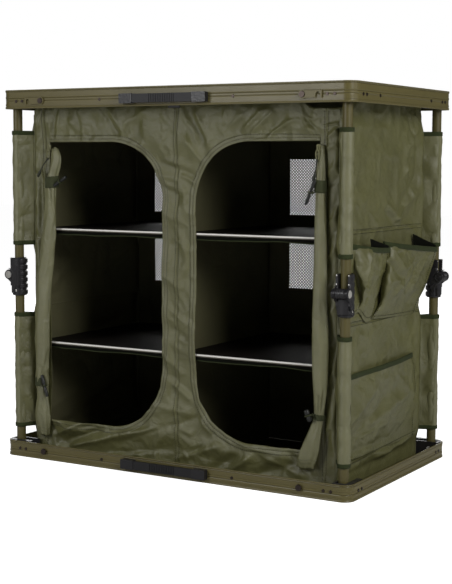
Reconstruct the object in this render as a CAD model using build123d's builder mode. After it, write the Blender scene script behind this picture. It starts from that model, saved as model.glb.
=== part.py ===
import os
from math import atan2, cos, degrees, hypot, radians, sin

from build123d import *

os.makedirs("parts", exist_ok=True)

# The box stands open. Millimetres, X to the right, Y to the back, origin on the ground in the middle.
frame_width = 800.0
frame_depth = 472.0
open_height = 760.0
corner_radius = 22.0

# Rails of the two case halves, bent from a channel with a lip along each edge
bottom_rail_height = 32.0
top_rail_height = 38.0
rail_wall = 2.0
lip_depth = 1.2
lip_height = 4.0
lip_round = 0.7
band_height = 3.5
band_depth = 0.6
band_spacing = 15.0
ledge_width = 4.0
ledge_thickness = 1.2
bottom_panel_thickness = 2.0
top_panel_thickness = 2.5
top_panel_recess = 0.3
panel_clearance = 0.3

# Legs of round tube, folded at the knee
leg_inset = 24.0
tube_radius = 9.5
tube_wall = 1.5
tube_overhang = 8.0
pivot_inset = 19.0
knee_offset = 17.0
pin_radius = 3.0
running_clearance = 0.05
side_clearance = 0.3
push_clearance = 0.02

# Knee socket on the lower tube: a collar, a channel that takes the upper tube, and two lugs
lug_radius = 7.0
lug_width = 7.7
collar_width = 30.0
collar_length = 34.0
collar_round = 6.0
channel_wall = 4.0
channel_height = 36.0
back_wall = 3.2
back_clearance = 0.4
tube_stop = 9.0
grip_pitch = 14.0
grip_count = 5
grip_radius = 6.5
grip_groove = 1.4
pin_cap_radius = 5.5
pin_cap_thickness = 2.0

# Knee yoke in the foot of the upper tube
yoke_height = 8.0
yoke_corner = 6.0
plug_length = 24.0
plug_clearance = 0.05

# Corner brackets that carry the leg pins
bracket_length = 38.0
bracket_height = 30.0
bracket_plate = 1.6
cheek = 3.5
slot_clearance = 0.7
slot_end = 14.0
cut_margin = 2.0
pin_head_radius = 4.5
pin_head_thickness = 1.5

# Small fasteners. Insets are from the ends of the face that carries them.
rivet_radius = 3.2
rivet_height = 1.2
head_slope = 20.0
corner_rivet_insets = (39.0, 54.0)
side_rivet_inset = 113.0
handle_rivet_gap = 54.0
bottom_fitting_height = 17.0
top_fitting_drop = 23.0

# Latches on the top half and their studs on the bottom half
latch_inset = 103.0
latch_width = 13.0
latch_thickness = 2.0
latch_end = 7.5
latch_hub_radius = 8.0
latch_gap = 0.4
latch_pin_radius = 2.5
latch_pin_head_radius = 6.0
stud_radius = 4.0
stud_head_radius = 6.5
head_thickness = 1.6
hook_clearance = 0.4

# Carry handles
handle_half_length = 98.0
handle_end_length = 30.0
handle_height = 19.0
handle_proud = 11.5
handle_skin = 1.5
handle_round = 2.0
grip_thickness = 5.2
grip_height = 17.0
grip_front_inset = 0.8
tongue_length = 22.0
tongue_thickness = 2.0
tongue_height = 11.0
tongue_clearance = 0.3
grip_web = 6.0
rib_pitch = 4.0
rib_count = 15
rib_width = 1.6
rib_depth = 0.9

# Fabric cabinet. Its walls stand in from the frame, and its doors and windows in from its walls.
cabinet_side_inset = 50.0
cabinet_front_inset = 46.0
cloth = 1.6
seat_gap = 0.3
door_side_inset = 50.0
door_inner_x = 37.0
door_top_drop = 105.0
door_bottom = 77.0
door_top_radius = 120.0
door_bottom_radius = 125.0
window_side_inset = 45.0
window_inner_x = 47.0
window_top_drop = 138.0
window_rises = (102.0, 25.0)
window_drop = 32.0
mesh_border = 6.0
mesh_thickness = 0.8
mesh_columns = 12
mesh_rows = 6
mesh_strand = 3.0

# Sleeves round the leg tubes, and the wings that tie them to the corners of the cabinet
sleeve_radius = 12.5
lower_sleeve_rail_gap = 28.0
lower_sleeve_knee_gap = 37.0
upper_sleeve_knee_gap = 27.0
upper_sleeve_rail_gap = 45.0

# Shelf boards
lower_shelf_height = 238.0
upper_shelf_height = 475.0
shelf_thickness = 4.0
trim_height = 5.0
trim_depth = 4.0

# Rolled-up doors, tied twice, with places measured from the doorway's top and bottom
roll_half_width = 18.0
roll_half_depth = 15.0
roll_top_drop = 10.0
roll_foot_drop = 19.0
roll_flare_rise = 42.0
roll_swell_rise = 58.0
upper_tie_drop = 81.0
lower_tie_rise = 76.0
strap_width = 20.0
strap_thickness = 1.2
toggle_radius = 3.5
toggle_length = 22.0
slider_width = 8.0
slider_height = 14.0
slider_thickness = 4.0
slider_round = 2.0

# Side pockets
pocket_wall = 1.5
pocket_folds = (0.25, 0.78)
pocket_valley = 0.5
pocket_valley_depth = 0.7

# Worked out from the sizes above
wall_inset = lip_depth + rail_wall
leg_x = frame_width / 2 - leg_inset
leg_y = frame_depth / 2 - leg_inset
top_pivot = open_height - pivot_inset
knee_height = open_height / 2
fold_travel = top_pivot - pivot_inset - 2 * knee_offset
bracket_floor = bottom_panel_thickness + ledge_thickness
top_panel_base = open_height - top_panel_recess - top_panel_thickness
top_ledge_base = top_panel_base - ledge_thickness
top_fitting_height = open_height - top_fitting_drop
latch_reach = top_fitting_height - fold_travel - bottom_fitting_height
cloth_bottom = bottom_panel_thickness + seat_gap
cloth_top = top_panel_base - seat_gap
wall_face = frame_depth / 2 - lip_depth
socket_floor = knee_height - tube_stop
socket_bottom = socket_floor - collar_length
socket_back = tube_radius + back_clearance + back_wall
lug_inner = tube_radius + side_clearance
channel_inner = collar_width / 2 - channel_wall
latch_x = frame_width / 2 - latch_inset
box_half_width = frame_width / 2 - cabinet_side_inset
box_half_depth = frame_depth / 2 - cabinet_front_inset
door_outer_x = box_half_width - door_side_inset
door_top = open_height - door_top_drop
upper_tie = door_top - upper_tie_drop
lower_tie = door_bottom + lower_tie_rise
roll_x = door_outer_x + roll_half_width
roll_top = door_top - roll_top_drop
roll_foot = door_bottom - roll_foot_drop
sleeve_ends = {
    "lower": (bottom_rail_height + lower_sleeve_rail_gap, socket_bottom - lower_sleeve_knee_gap),
    "upper": (
        knee_height + channel_height + upper_sleeve_knee_gap,
        open_height - top_rail_height - upper_sleeve_rail_gap,
    ),
}

# Each leg's corner, and the direction in which it folds, in degrees from the X axis
legs = {
    "front_left": (-1, -1, 0),
    "front_right": (1, -1, 90),
    "back_right": (1, 1, 180),
    "back_left": (-1, 1, 270),
}


def save(piece, name):
    """Label one piece and write it to its own file."""
    piece.part.label = name
    export_step(piece.part, f"parts/{name}.step")


def leg_plane(leg, height):
    """Level plane through a leg's axis, with its x along the way the leg folds and its y inwards."""
    side_x, side_y, turn = legs[leg]
    fold = (cos(radians(turn)), sin(radians(turn)), 0)
    return Plane(origin=(side_x * leg_x, side_y * leg_y, height), x_dir=fold, z_dir=(0, 0, 1))


def side_plane(leg):
    """Upright plane through a leg's axis, with its x along the way the leg folds and its y up."""
    side_x, side_y, turn = legs[leg]
    fold = (cos(radians(turn)), sin(radians(turn)), 0)
    outwards = (sin(radians(turn)), -cos(radians(turn)), 0)
    return Plane(origin=(side_x * leg_x, side_y * leg_y, 0), x_dir=fold, z_dir=outwards)


def ring(base, outer_inset, inner_inset):
    """Level outline that runs round the case between two insets from its outer face."""
    with BuildSketch(Plane.XY.offset(base)) as outline:
        for inset, mode in ((outer_inset, Mode.ADD), (inner_inset, Mode.SUBTRACT)):
            RectangleRounded(
                frame_width - 2 * inset,
                frame_depth - 2 * inset,
                corner_radius - inset,
                mode=mode,
            )
    return outline.sketch


def doorway(side):
    """Outline of one doorway: square at its outer edge, rounded towards the middle of the box."""
    inner, outer = side * door_inner_x, side * door_outer_x
    with BuildSketch() as outline:
        with BuildLine():
            low = Line((outer, door_bottom), (inner + side * door_bottom_radius, door_bottom))
            high = Line((outer, door_top), (inner + side * door_top_radius, door_top))
            jamb = Line((inner, door_bottom + door_bottom_radius), (inner, door_top - door_top_radius))
            TangentArc(low @ 1, jamb @ 0, tangent=low % 1)
            TangentArc(high @ 1, jamb @ 1, tangent=high % 1)
            Line(low @ 0, high @ 0)
        make_face()
    return outline.sketch


def oval(plane, width, depth):
    """Closed oval of four arcs, centred on its plane."""
    slant = sin(radians(45))
    corners = [(width, 0), (0, depth), (-width, 0), (0, -depth)]
    middles = [(1, 1), (-1, 1), (-1, -1), (1, -1)]
    with BuildSketch(plane) as outline:
        with BuildLine():
            for start, (x, y), end in zip(corners, middles, corners[1:] + corners[:1]):
                ThreePointArc(start, (x * slant * width, y * slant * depth), end)
        make_face()
    return outline.sketch


# Rails of the two case halves, with the ledge that carries the panel
fitting_heights = {"bottom": bottom_fitting_height, "top": top_fitting_height}
rails = {
    "bottom": (0, bottom_rail_height, bottom_panel_thickness),
    "top": (open_height - top_rail_height, top_rail_height, top_ledge_base),
}
for half, (base, height, ledge) in rails.items():
    with BuildPart() as rail:
        extrude(ring(base, lip_depth, wall_inset), amount=height)
        extrude(ring(base, 0, lip_depth), amount=lip_height)
        extrude(ring(base + height - lip_height, 0, lip_depth), amount=lip_height)
        for side in (-1, 1):
            band = fitting_heights[half] + (side * band_spacing - band_height) / 2
            extrude(ring(band, lip_depth - band_depth, lip_depth), amount=band_height)
        extrude(ring(ledge, wall_inset, wall_inset + ledge_width), amount=ledge_thickness)
        fillet(rail.edges().group_by(Axis.Z)[-1], lip_round)
    save(rail, f"{half}_rail")

# Panels that close the case halves
panels = {
    "bottom": (0, bottom_panel_thickness),
    "top": (top_panel_base, top_panel_thickness),
}
panel_inset = wall_inset + panel_clearance
for half, (base, thickness) in panels.items():
    with BuildPart() as panel:
        with BuildSketch(Plane.XY.offset(base)):
            RectangleRounded(
                frame_width - 2 * panel_inset,
                frame_depth - 2 * panel_inset,
                corner_radius - panel_inset,
            )
        extrude(amount=thickness)
    save(panel, f"{half}_panel")

# Corner brackets: a block in each corner of the case, slotted for the leg that folds into it
bracket_reach = leg_inset - wall_inset - panel_clearance
slot_half = tube_radius + slot_clearance
cheek_outer = slot_half + cheek
brackets = {
    "bottom": (bracket_floor, bracket_floor + bracket_plate, pivot_inset),
    "top": (top_ledge_base - bracket_height, top_ledge_base - bracket_height, top_pivot),
}
for half, (base, slot_base, pivot) in brackets.items():
    with BuildPart() as corner_brackets:
        for leg in legs:
            with BuildSketch(leg_plane(leg, base)) as block:
                with Locations(((bracket_length - bracket_reach) / 2, (cheek_outer - bracket_reach) / 2)):
                    Rectangle(bracket_length + bracket_reach, cheek_outer + bracket_reach)
                outer_corner = block.vertices().group_by(Axis.X)[0].sort_by(Axis.Y)[0]
                fillet(outer_corner, corner_radius - panel_inset)
            extrude(amount=bracket_height)
            with BuildSketch(leg_plane(leg, slot_base)):
                with Locations(((bracket_length + cut_margin - slot_end) / 2, 0)):
                    Rectangle(bracket_length + cut_margin + slot_end, 2 * slot_half)
            extrude(amount=bracket_height - bracket_plate, mode=Mode.SUBTRACT)
            with BuildSketch(side_plane(leg)):
                with Locations((0, pivot)):
                    Circle(pin_radius + push_clearance)
            extrude(amount=cheek_outer + bracket_reach, both=True, mode=Mode.SUBTRACT)
    save(corner_brackets, f"{half}_corner_brackets")

    with BuildPart() as leg_pins:
        for leg in legs:
            with BuildSketch(side_plane(leg).offset(-cheek_outer)):
                with Locations((0, pivot)):
                    Circle(pin_radius)
            extrude(amount=cheek_outer + bracket_reach)
            with BuildSketch(side_plane(leg).offset(-cheek_outer)):
                with Locations((0, pivot)):
                    Circle(pin_head_radius)
            extrude(amount=-pin_head_thickness)
    save(leg_pins, f"{half}_leg_pins")

# Legs
for leg in legs:
    with BuildPart() as lower_tube:
        with BuildSketch(leg_plane(leg, pivot_inset - tube_overhang)):
            Circle(tube_radius)
            Circle(tube_radius - tube_wall, mode=Mode.SUBTRACT)
        extrude(amount=socket_floor - pivot_inset + tube_overhang)
        with BuildSketch(side_plane(leg)):
            with Locations((0, pivot_inset)):
                Circle(pin_radius + running_clearance)
        extrude(amount=2 * tube_radius, both=True, mode=Mode.SUBTRACT)
    save(lower_tube, f"{leg}_lower_tube")

    with BuildPart() as knee_socket:
        with BuildSketch(leg_plane(leg, socket_bottom)):
            RectangleRounded(2 * socket_back, collar_width, collar_round)
            Circle(tube_radius + plug_clearance, mode=Mode.SUBTRACT)
        extrude(amount=collar_length)
        with BuildSketch(leg_plane(leg, socket_floor)):
            with Locations(((socket_back - collar_round) / 2, 0)):
                Rectangle(socket_back + collar_round, collar_width)
            with Locations(((socket_back - back_wall - collar_round) / 2, 0)):
                Rectangle(socket_back - back_wall + collar_round, 2 * channel_inner, mode=Mode.SUBTRACT)
        extrude(amount=tube_stop + channel_height)
        for face in (lug_inner, -lug_inner - lug_width):
            with BuildSketch(side_plane(leg).offset(face)):
                with Locations((-knee_offset, knee_height)):
                    Circle(lug_radius)
                with Locations((-knee_offset / 2, knee_height)):
                    Rectangle(knee_offset, 2 * lug_radius)
            extrude(amount=lug_width)
        with BuildSketch(side_plane(leg)):
            with Locations((-knee_offset, knee_height)):
                Circle(pin_radius + push_clearance)
            for groove in range(grip_count):
                height = socket_bottom + grip_pitch * (groove + 0.5)
                with Locations((socket_back + grip_radius - grip_groove, height)):
                    Circle(grip_radius)
        extrude(amount=collar_width, both=True, mode=Mode.SUBTRACT)
    save(knee_socket, f"{leg}_knee_socket")

    with BuildPart() as knee_pin:
        with BuildSketch(side_plane(leg)):
            with Locations((-knee_offset, knee_height)):
                Circle(pin_radius)
        extrude(amount=lug_inner + lug_width, both=True)
        for face, way in ((lug_inner + lug_width, 1), (-lug_inner - lug_width, -1)):
            with BuildSketch(side_plane(leg).offset(face)):
                with Locations((-knee_offset, knee_height)):
                    Circle(pin_cap_radius)
            extrude(amount=way * pin_cap_thickness)
    save(knee_pin, f"{leg}_knee_pin")

    with BuildPart() as upper_tube:
        with BuildSketch(leg_plane(leg, knee_height + yoke_height)):
            Circle(tube_radius)
            Circle(tube_radius - tube_wall, mode=Mode.SUBTRACT)
        extrude(amount=top_pivot + tube_overhang - knee_height - yoke_height)
        with BuildSketch(side_plane(leg)):
            with Locations((0, top_pivot)):
                Circle(pin_radius + running_clearance)
        extrude(amount=2 * tube_radius, both=True, mode=Mode.SUBTRACT)
    save(upper_tube, f"{leg}_upper_tube")

    with BuildPart() as knee_yoke:
        with BuildSketch(side_plane(leg)) as profile:
            block_height = lug_radius + yoke_height
            with Locations(((tube_radius - knee_offset) / 2, knee_height + (yoke_height - lug_radius) / 2)):
                Rectangle(tube_radius + knee_offset, block_height)
            fillet(profile.vertices().group_by(Axis.X)[-1].sort_by(Axis.Y)[0], yoke_corner)
            with Locations((-knee_offset, knee_height)):
                Circle(lug_radius)
                Circle(pin_radius + running_clearance, mode=Mode.SUBTRACT)
        extrude(amount=tube_radius, both=True)
        with BuildSketch(leg_plane(leg, knee_height + yoke_height)):
            Circle(tube_radius - tube_wall - plug_clearance)
        extrude(amount=plug_length)
    save(knee_yoke, f"{leg}_knee_yoke")

    for part_of_leg, (low, high) in sleeve_ends.items():
        with BuildPart() as sleeve:
            with BuildSketch(leg_plane(leg, low)):
                Circle(sleeve_radius)
                Circle(tube_radius + seat_gap, mode=Mode.SUBTRACT)
            extrude(amount=high - low)
        save(sleeve, f"{leg}_{part_of_leg}_sleeve")

# Rivets, with the latch pins on the top half and the latch studs on the bottom half
front_face = Plane.XZ.offset(wall_face)
back_face = Plane.XZ.offset(-wall_face)
right_face = Plane.YZ.offset(frame_width / 2 - lip_depth)
left_face = Plane.YZ.offset(lip_depth - frame_width / 2)
head_face = frame_depth / 2 + latch_gap + latch_thickness + latch_gap
long_rivets = [handle_half_length + handle_rivet_gap]
long_rivets += [frame_width / 2 - inset for inset in corner_rivet_insets]
short_rivets = {
    "bottom": [frame_depth / 2 - inset for inset in corner_rivet_insets],
    "top": [frame_depth / 2 - inset for inset in corner_rivet_insets + (side_rivet_inset,)],
}
latch_posts = {
    "bottom": (stud_radius, stud_head_radius),
    "top": (latch_pin_radius, latch_pin_head_radius),
}
for half, fitting in fitting_heights.items():
    long_spots = [(side * x, fitting) for side in (-1, 1) for x in long_rivets]
    short_spots = [(side * y, fitting) for side in (-1, 1) for y in short_rivets[half]]
    shank_radius, head_radius = latch_posts[half]
    with BuildPart() as rivets:
        for face, way, spots in (
            (front_face, 1, long_spots),
            (back_face, -1, long_spots),
            (right_face, 1, short_spots),
            (left_face, -1, short_spots),
        ):
            with BuildSketch(face):
                with Locations(*spots):
                    Circle(rivet_radius)
            extrude(amount=way * rivet_height, taper=head_slope)
        for side in (-1, 1):
            with BuildSketch(front_face):
                with Locations((side * latch_x, fitting)):
                    Circle(shank_radius)
            extrude(amount=head_face - wall_face)
            with BuildSketch(Plane.XZ.offset(head_face)):
                with Locations((side * latch_x, fitting)):
                    Circle(head_radius)
            extrude(amount=head_thickness, taper=head_slope)
    save(rivets, f"{half}_rivets")

# Latches: they point outwards at rest, and swing down to hook on the studs of the closed case
for name, side in (("left", -1), ("right", 1)):
    with BuildPart() as latch:
        with BuildSketch(Plane.XZ.offset(frame_depth / 2 + latch_gap)):
            with Locations((side * latch_x, top_fitting_height)):
                Circle(latch_hub_radius)
            with Locations((side * (latch_x + (latch_reach + latch_end) / 2), top_fitting_height)):
                Rectangle(latch_reach + latch_end, latch_width)
            slot = stud_radius + hook_clearance
            with Locations((side * (latch_x + latch_reach), top_fitting_height)):
                Circle(slot, mode=Mode.SUBTRACT)
            mouth_x = latch_x + latch_reach - hook_clearance
            with Locations((side * mouth_x, top_fitting_height - latch_width / 2)):
                Rectangle(2 * (slot + hook_clearance), latch_width, mode=Mode.SUBTRACT)
            with Locations((side * latch_x, top_fitting_height)):
                Circle(latch_pin_radius + running_clearance, mode=Mode.SUBTRACT)
        extrude(amount=latch_thickness)
    save(latch, f"{name}_latch")

# Carry handles: end blocks on the rail's bands, and a grip whose tongues slide out in them
band_face = wall_face + band_depth
handle_front = band_face + handle_proud
grip_front = handle_front - grip_front_inset
grip_half = handle_half_length - handle_end_length - tongue_clearance
for half, fitting in fitting_heights.items():
    with BuildPart() as handle_ends:
        for side in (-1, 1):
            with BuildSketch(Plane.XZ.offset(band_face)):
                with Locations((side * (handle_half_length - handle_end_length / 2), fitting)):
                    RectangleRounded(handle_end_length, handle_height, handle_round)
            extrude(amount=handle_proud)
            pocket = tongue_length + tongue_clearance
            with BuildSketch(Plane.XZ.offset(band_face)):
                with Locations((side * (handle_half_length - handle_end_length + pocket / 2), fitting)):
                    Rectangle(pocket, tongue_height + 2 * tongue_clearance)
            extrude(amount=handle_proud - handle_skin, mode=Mode.SUBTRACT)
    save(handle_ends, f"{half}_handle_ends")

    with BuildPart() as handle_grip:
        with BuildSketch(Plane.XZ.offset(grip_front - grip_thickness)):
            with Locations((0, fitting)):
                RectangleRounded(2 * grip_half, grip_height, handle_round)
        extrude(amount=grip_thickness)
        for side in (-1, 1):
            tongue_end = handle_half_length - handle_end_length + tongue_length - tongue_clearance
            with BuildSketch(Plane.XZ.offset(band_face + tongue_clearance)):
                with Locations((side * (tongue_end + grip_half - grip_web) / 2, fitting)):
                    Rectangle(tongue_end - grip_half + grip_web, tongue_height)
            extrude(amount=tongue_thickness)
            with BuildSketch(Plane.XZ.offset(band_face + tongue_clearance)):
                with Locations((side * (grip_half - grip_web / 2), fitting)):
                    Rectangle(grip_web, tongue_height)
            extrude(amount=grip_front - grip_thickness - band_face - tongue_clearance)
        with BuildSketch(Plane.XZ.offset(grip_front - rib_depth)):
            with Locations((0, fitting)):
                with GridLocations(rib_pitch, 1, rib_count, 1):
                    Rectangle(rib_width, grip_height)
        extrude(amount=rib_depth, mode=Mode.SUBTRACT)
    save(handle_grip, f"{half}_handle_grip")

# Shelf boards, two side by side on each level, with a trim along the front edge
inner_half_width = box_half_width - cloth
inner_half_depth = box_half_depth - cloth
board_width = inner_half_width - cloth / 2 - 2 * seat_gap
board_x = cloth / 2 + seat_gap + board_width / 2
trim_front = inner_half_depth - seat_gap
board_back = inner_half_depth - mesh_thickness - seat_gap
board_depth = trim_front - trim_depth + board_back
for level, height in (("lower", lower_shelf_height), ("upper", upper_shelf_height)):
    with BuildPart() as shelf_boards:
        with BuildSketch(Plane.XY.offset(height - shelf_thickness / 2)):
            with Locations((-board_x, board_back - board_depth / 2), (board_x, board_back - board_depth / 2)):
                Rectangle(board_width, board_depth)
        extrude(amount=shelf_thickness)
    save(shelf_boards, f"{level}_shelf_boards")

    with BuildPart() as shelf_trims:
        with BuildSketch(Plane.XY.offset(height - trim_height / 2)):
            with Locations((-board_x, trim_depth / 2 - trim_front), (board_x, trim_depth / 2 - trim_front)):
                Rectangle(board_width, trim_depth)
        extrude(amount=trim_height)
    save(shelf_trims, f"{level}_shelf_trims")

# Front panel with its two doorways
cloth_middle = (cloth_bottom + cloth_top) / 2
cloth_height = cloth_top - cloth_bottom
with BuildPart() as front_panel:
    with BuildSketch(Plane.XZ.offset(inner_half_depth)):
        with Locations((0, cloth_middle)):
            Rectangle(2 * box_half_width, cloth_height)
        for side in (-1, 1):
            add(doorway(side), mode=Mode.SUBTRACT)
    extrude(amount=cloth)
save(front_panel, "front_panel")

# Back panel with four windows, and the mesh sewn inside them
window_outer_x = box_half_width - window_side_inset
window_width = window_outer_x - window_inner_x
lower_window_rise, upper_window_rise = window_rises
window_heights = (
    (lower_shelf_height + lower_window_rise, upper_shelf_height - window_drop),
    (upper_shelf_height + upper_window_rise, open_height - window_top_drop),
)
windows = [
    (side * (window_inner_x + window_outer_x) / 2, (low + high) / 2, high - low)
    for side in (-1, 1)
    for low, high in window_heights
]
with BuildPart() as back_panel:
    with BuildSketch(Plane.XZ.offset(-box_half_depth)):
        with Locations((0, cloth_middle)):
            Rectangle(2 * box_half_width, cloth_height)
        for x, z, height in windows:
            with Locations((x, z)):
                Rectangle(window_width, height, mode=Mode.SUBTRACT)
    extrude(amount=cloth)
save(back_panel, "back_panel")

with BuildPart() as back_mesh:
    for x, z, height in windows:
        column_pitch = window_width / mesh_columns
        row_pitch = height / mesh_rows
        with BuildSketch(Plane.XZ.offset(-inner_half_depth)):
            with Locations((x, z)):
                Rectangle(window_width + 2 * mesh_border, height + 2 * mesh_border)
                with GridLocations(column_pitch, row_pitch, mesh_columns, mesh_rows):
                    Rectangle(column_pitch - mesh_strand, row_pitch - mesh_strand, mode=Mode.SUBTRACT)
        extrude(amount=mesh_thickness)
save(back_mesh, "back_mesh")

# Side panels and the divider between the two columns
uprights = {
    "left_side_panel": (-box_half_width, inner_half_depth, inner_half_depth),
    "centre_divider": (-cloth / 2, inner_half_depth - seat_gap, board_back),
    "right_side_panel": (inner_half_width, inner_half_depth, inner_half_depth),
}
for name, (face, front, back) in uprights.items():
    with BuildPart() as upright:
        with BuildSketch(Plane.YZ.offset(face)):
            with Locations(((back - front) / 2, cloth_middle)):
                Rectangle(front + back, cloth_height)
        extrude(amount=cloth)
    save(upright, name)

# Wings of cloth from the cabinet's corners to the leg sleeves
wing_span = hypot(leg_x - box_half_width, leg_y - box_half_depth)
wing_turn = degrees(atan2(leg_y - box_half_depth, leg_x - box_half_width))
wing_length = wing_span - sleeve_radius - 2 * seat_gap - cloth / 2
wing_middle = (seat_gap + cloth / 2 + wing_length / 2) / wing_span
with BuildPart() as corner_wings:
    for low, high in sleeve_ends.values():
        for side_x, side_y, turn in legs.values():
            x = side_x * (box_half_width + wing_middle * (leg_x - box_half_width))
            y = side_y * (box_half_depth + wing_middle * (leg_y - box_half_depth))
            with BuildSketch(Plane.XY.offset(low)):
                with Locations((x, y)):
                    Rectangle(wing_length, cloth, rotation=side_x * side_y * wing_turn)
            extrude(amount=high - low)
save(corner_wings, "corner_wings")

# Pockets on the right side. Each level gives its height, its front and back edges and its bulge.
front_wall = -box_half_depth
back_wall_y = box_half_depth
pocket_levels = {
    "front": (
        (328, front_wall + 27, -52, 6),
        (375, front_wall + 14, -24, 17),
        (420, front_wall + 6, 12, 22),
        (456, front_wall + 4, 38, 24),
    ),
    "rear": (
        (318, -44, back_wall_y - 50, 6),
        (365, -16, back_wall_y - 22, 15),
        (410, 20, back_wall_y - 8, 21),
        (446, 44, back_wall_y - 4, 22),
    ),
    "lower": (
        (48, front_wall + 6, back_wall_y - 12, 5),
        (110, front_wall + 4, back_wall_y - 14, 11),
        (180, front_wall + 4, back_wall_y - 18, 12),
        (236, front_wall + 4, back_wall_y - 26, 9),
    ),
}


def pocket_outline(level, wall):
    """One level of a pocket: two rounded folds with a shallow valley between, and a flat back."""
    height, front, back, bulge = level
    foot = box_half_width + seat_gap + wall
    span = back - front - 2 * wall
    start = front + wall
    first_fold, second_fold = (start + place * span for place in pocket_folds)
    fold = foot + bulge - 2 * wall
    valley = (foot + pocket_valley_depth * (bulge - 2 * wall), start + pocket_valley * span)
    with BuildSketch(Plane.XY.offset(height)) as outline:
        with BuildLine():
            ThreePointArc((foot, start), (fold, first_fold), valley)
            ThreePointArc(valley, (fold, second_fold), (foot, start + span))
            Line((foot, start + span), (foot, start))
        make_face()
    return outline.sketch


with BuildPart() as side_pockets:
    for levels in pocket_levels.values():
        floor, *rest = levels
        inner_floor = (floor[0] + 2 * pocket_wall, *floor[1:])
        loft([pocket_outline(level, 0) for level in levels])
        loft([pocket_outline(level, pocket_wall) for level in (inner_floor, *rest)], mode=Mode.SUBTRACT)
save(side_pockets, "side_pockets")

# Rolled-up doors. Each level gives its height, and its width and depth as shares of the whole roll.
roll_levels = (
    (roll_foot, 1.35, 0.5),
    (roll_foot + roll_flare_rise, 1.2, 0.7),
    (lower_tie - strap_width / 2, 0.7, 0.72),
    (lower_tie + strap_width / 2, 0.7, 0.72),
    (lower_tie + roll_swell_rise, 0.98, 0.95),
    ((lower_tie + upper_tie) / 2, 1.0, 1.0),
    (upper_tie - roll_swell_rise, 1.0, 0.95),
    (upper_tie - strap_width / 2, 0.85, 0.85),
    (upper_tie + strap_width / 2, 0.85, 0.85),
    (upper_tie + roll_flare_rise, 0.95, 0.9),
    (roll_top, 0.8, 0.5),
)
roll_back = box_half_depth + strap_thickness + 2 * seat_gap
for name, side in (("left", -1), ("right", 1)):
    with BuildPart() as door_roll:
        sections = []
        for height, width, depth in roll_levels:
            half_depth = depth * roll_half_depth
            plane = Plane((side * roll_x, -roll_back - half_depth, height))
            sections.append(oval(plane, width * roll_half_width, half_depth))
        loft(sections, ruled=True)
    save(door_roll, f"{name}_door_roll")

# Straps round the rolls
tied = [level for level in roll_levels if level[0] + strap_width / 2 in (lower_tie, upper_tie)]
with BuildPart() as roll_straps:
    for side in (-1, 1):
        for height, width, depth in tied:
            inner_width = width * roll_half_width + seat_gap
            inner_depth = depth * roll_half_depth + seat_gap
            plane = Plane((side * roll_x, -roll_back - depth * roll_half_depth, height))
            outer_width, outer_depth = inner_width + strap_thickness, inner_depth + strap_thickness
            extrude(oval(plane, outer_width, outer_depth), amount=strap_width)
            extrude(oval(plane, inner_width, inner_depth), amount=strap_width, mode=Mode.SUBTRACT)
save(roll_straps, "roll_straps")

# Toggles in front of the straps, and the zip sliders with their pulls at the doors' top outer corners
slider_x = door_outer_x - slider_width
with BuildPart() as door_fittings:
    for side in (-1, 1):
        for height, width, depth in tied:
            strap_front = roll_back + 2 * depth * roll_half_depth + seat_gap + strap_thickness
            toggle_x = side * (roll_x - toggle_length / 2)
            toggle_y = -strap_front - seat_gap - toggle_radius
            with BuildSketch(Plane.YZ.offset(toggle_x - toggle_length / 2)):
                with Locations((toggle_y, height + strap_width / 2)):
                    Circle(toggle_radius)
            extrude(amount=toggle_length)
        with BuildSketch(Plane.XZ.offset(box_half_depth + seat_gap)):
            with Locations((side * slider_x, door_top + slider_height / 2 + seat_gap)):
                RectangleRounded(slider_width, slider_height, slider_round)
        extrude(amount=slider_thickness)
save(door_fittings, "door_fittings")
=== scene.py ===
from math import cos, hypot, pi, radians, sin

import bpy
import numpy as np
from mathutils import Matrix, Vector


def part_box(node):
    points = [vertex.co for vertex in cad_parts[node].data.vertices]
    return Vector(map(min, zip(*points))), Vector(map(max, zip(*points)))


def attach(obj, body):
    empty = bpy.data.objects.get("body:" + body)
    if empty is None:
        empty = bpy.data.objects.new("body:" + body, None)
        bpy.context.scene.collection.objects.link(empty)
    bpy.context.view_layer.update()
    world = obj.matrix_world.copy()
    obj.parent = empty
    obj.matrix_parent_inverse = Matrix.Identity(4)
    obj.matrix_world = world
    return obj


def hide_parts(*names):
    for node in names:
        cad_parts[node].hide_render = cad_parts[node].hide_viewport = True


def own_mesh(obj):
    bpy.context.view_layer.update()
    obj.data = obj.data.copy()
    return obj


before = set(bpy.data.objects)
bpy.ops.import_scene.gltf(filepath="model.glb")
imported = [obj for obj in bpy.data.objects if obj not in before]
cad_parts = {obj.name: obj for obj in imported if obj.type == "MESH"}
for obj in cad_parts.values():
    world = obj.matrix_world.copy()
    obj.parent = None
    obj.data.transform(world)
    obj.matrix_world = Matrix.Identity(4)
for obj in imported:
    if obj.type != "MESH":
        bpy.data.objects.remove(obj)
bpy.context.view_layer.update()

# Everything below is in millimetres until it becomes a mesh.


def box_mm(node):
    """Lowest and highest corner of a node, in millimetres."""
    low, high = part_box(node)
    return np.array(low) * 1000, np.array(high) * 1000


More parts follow.
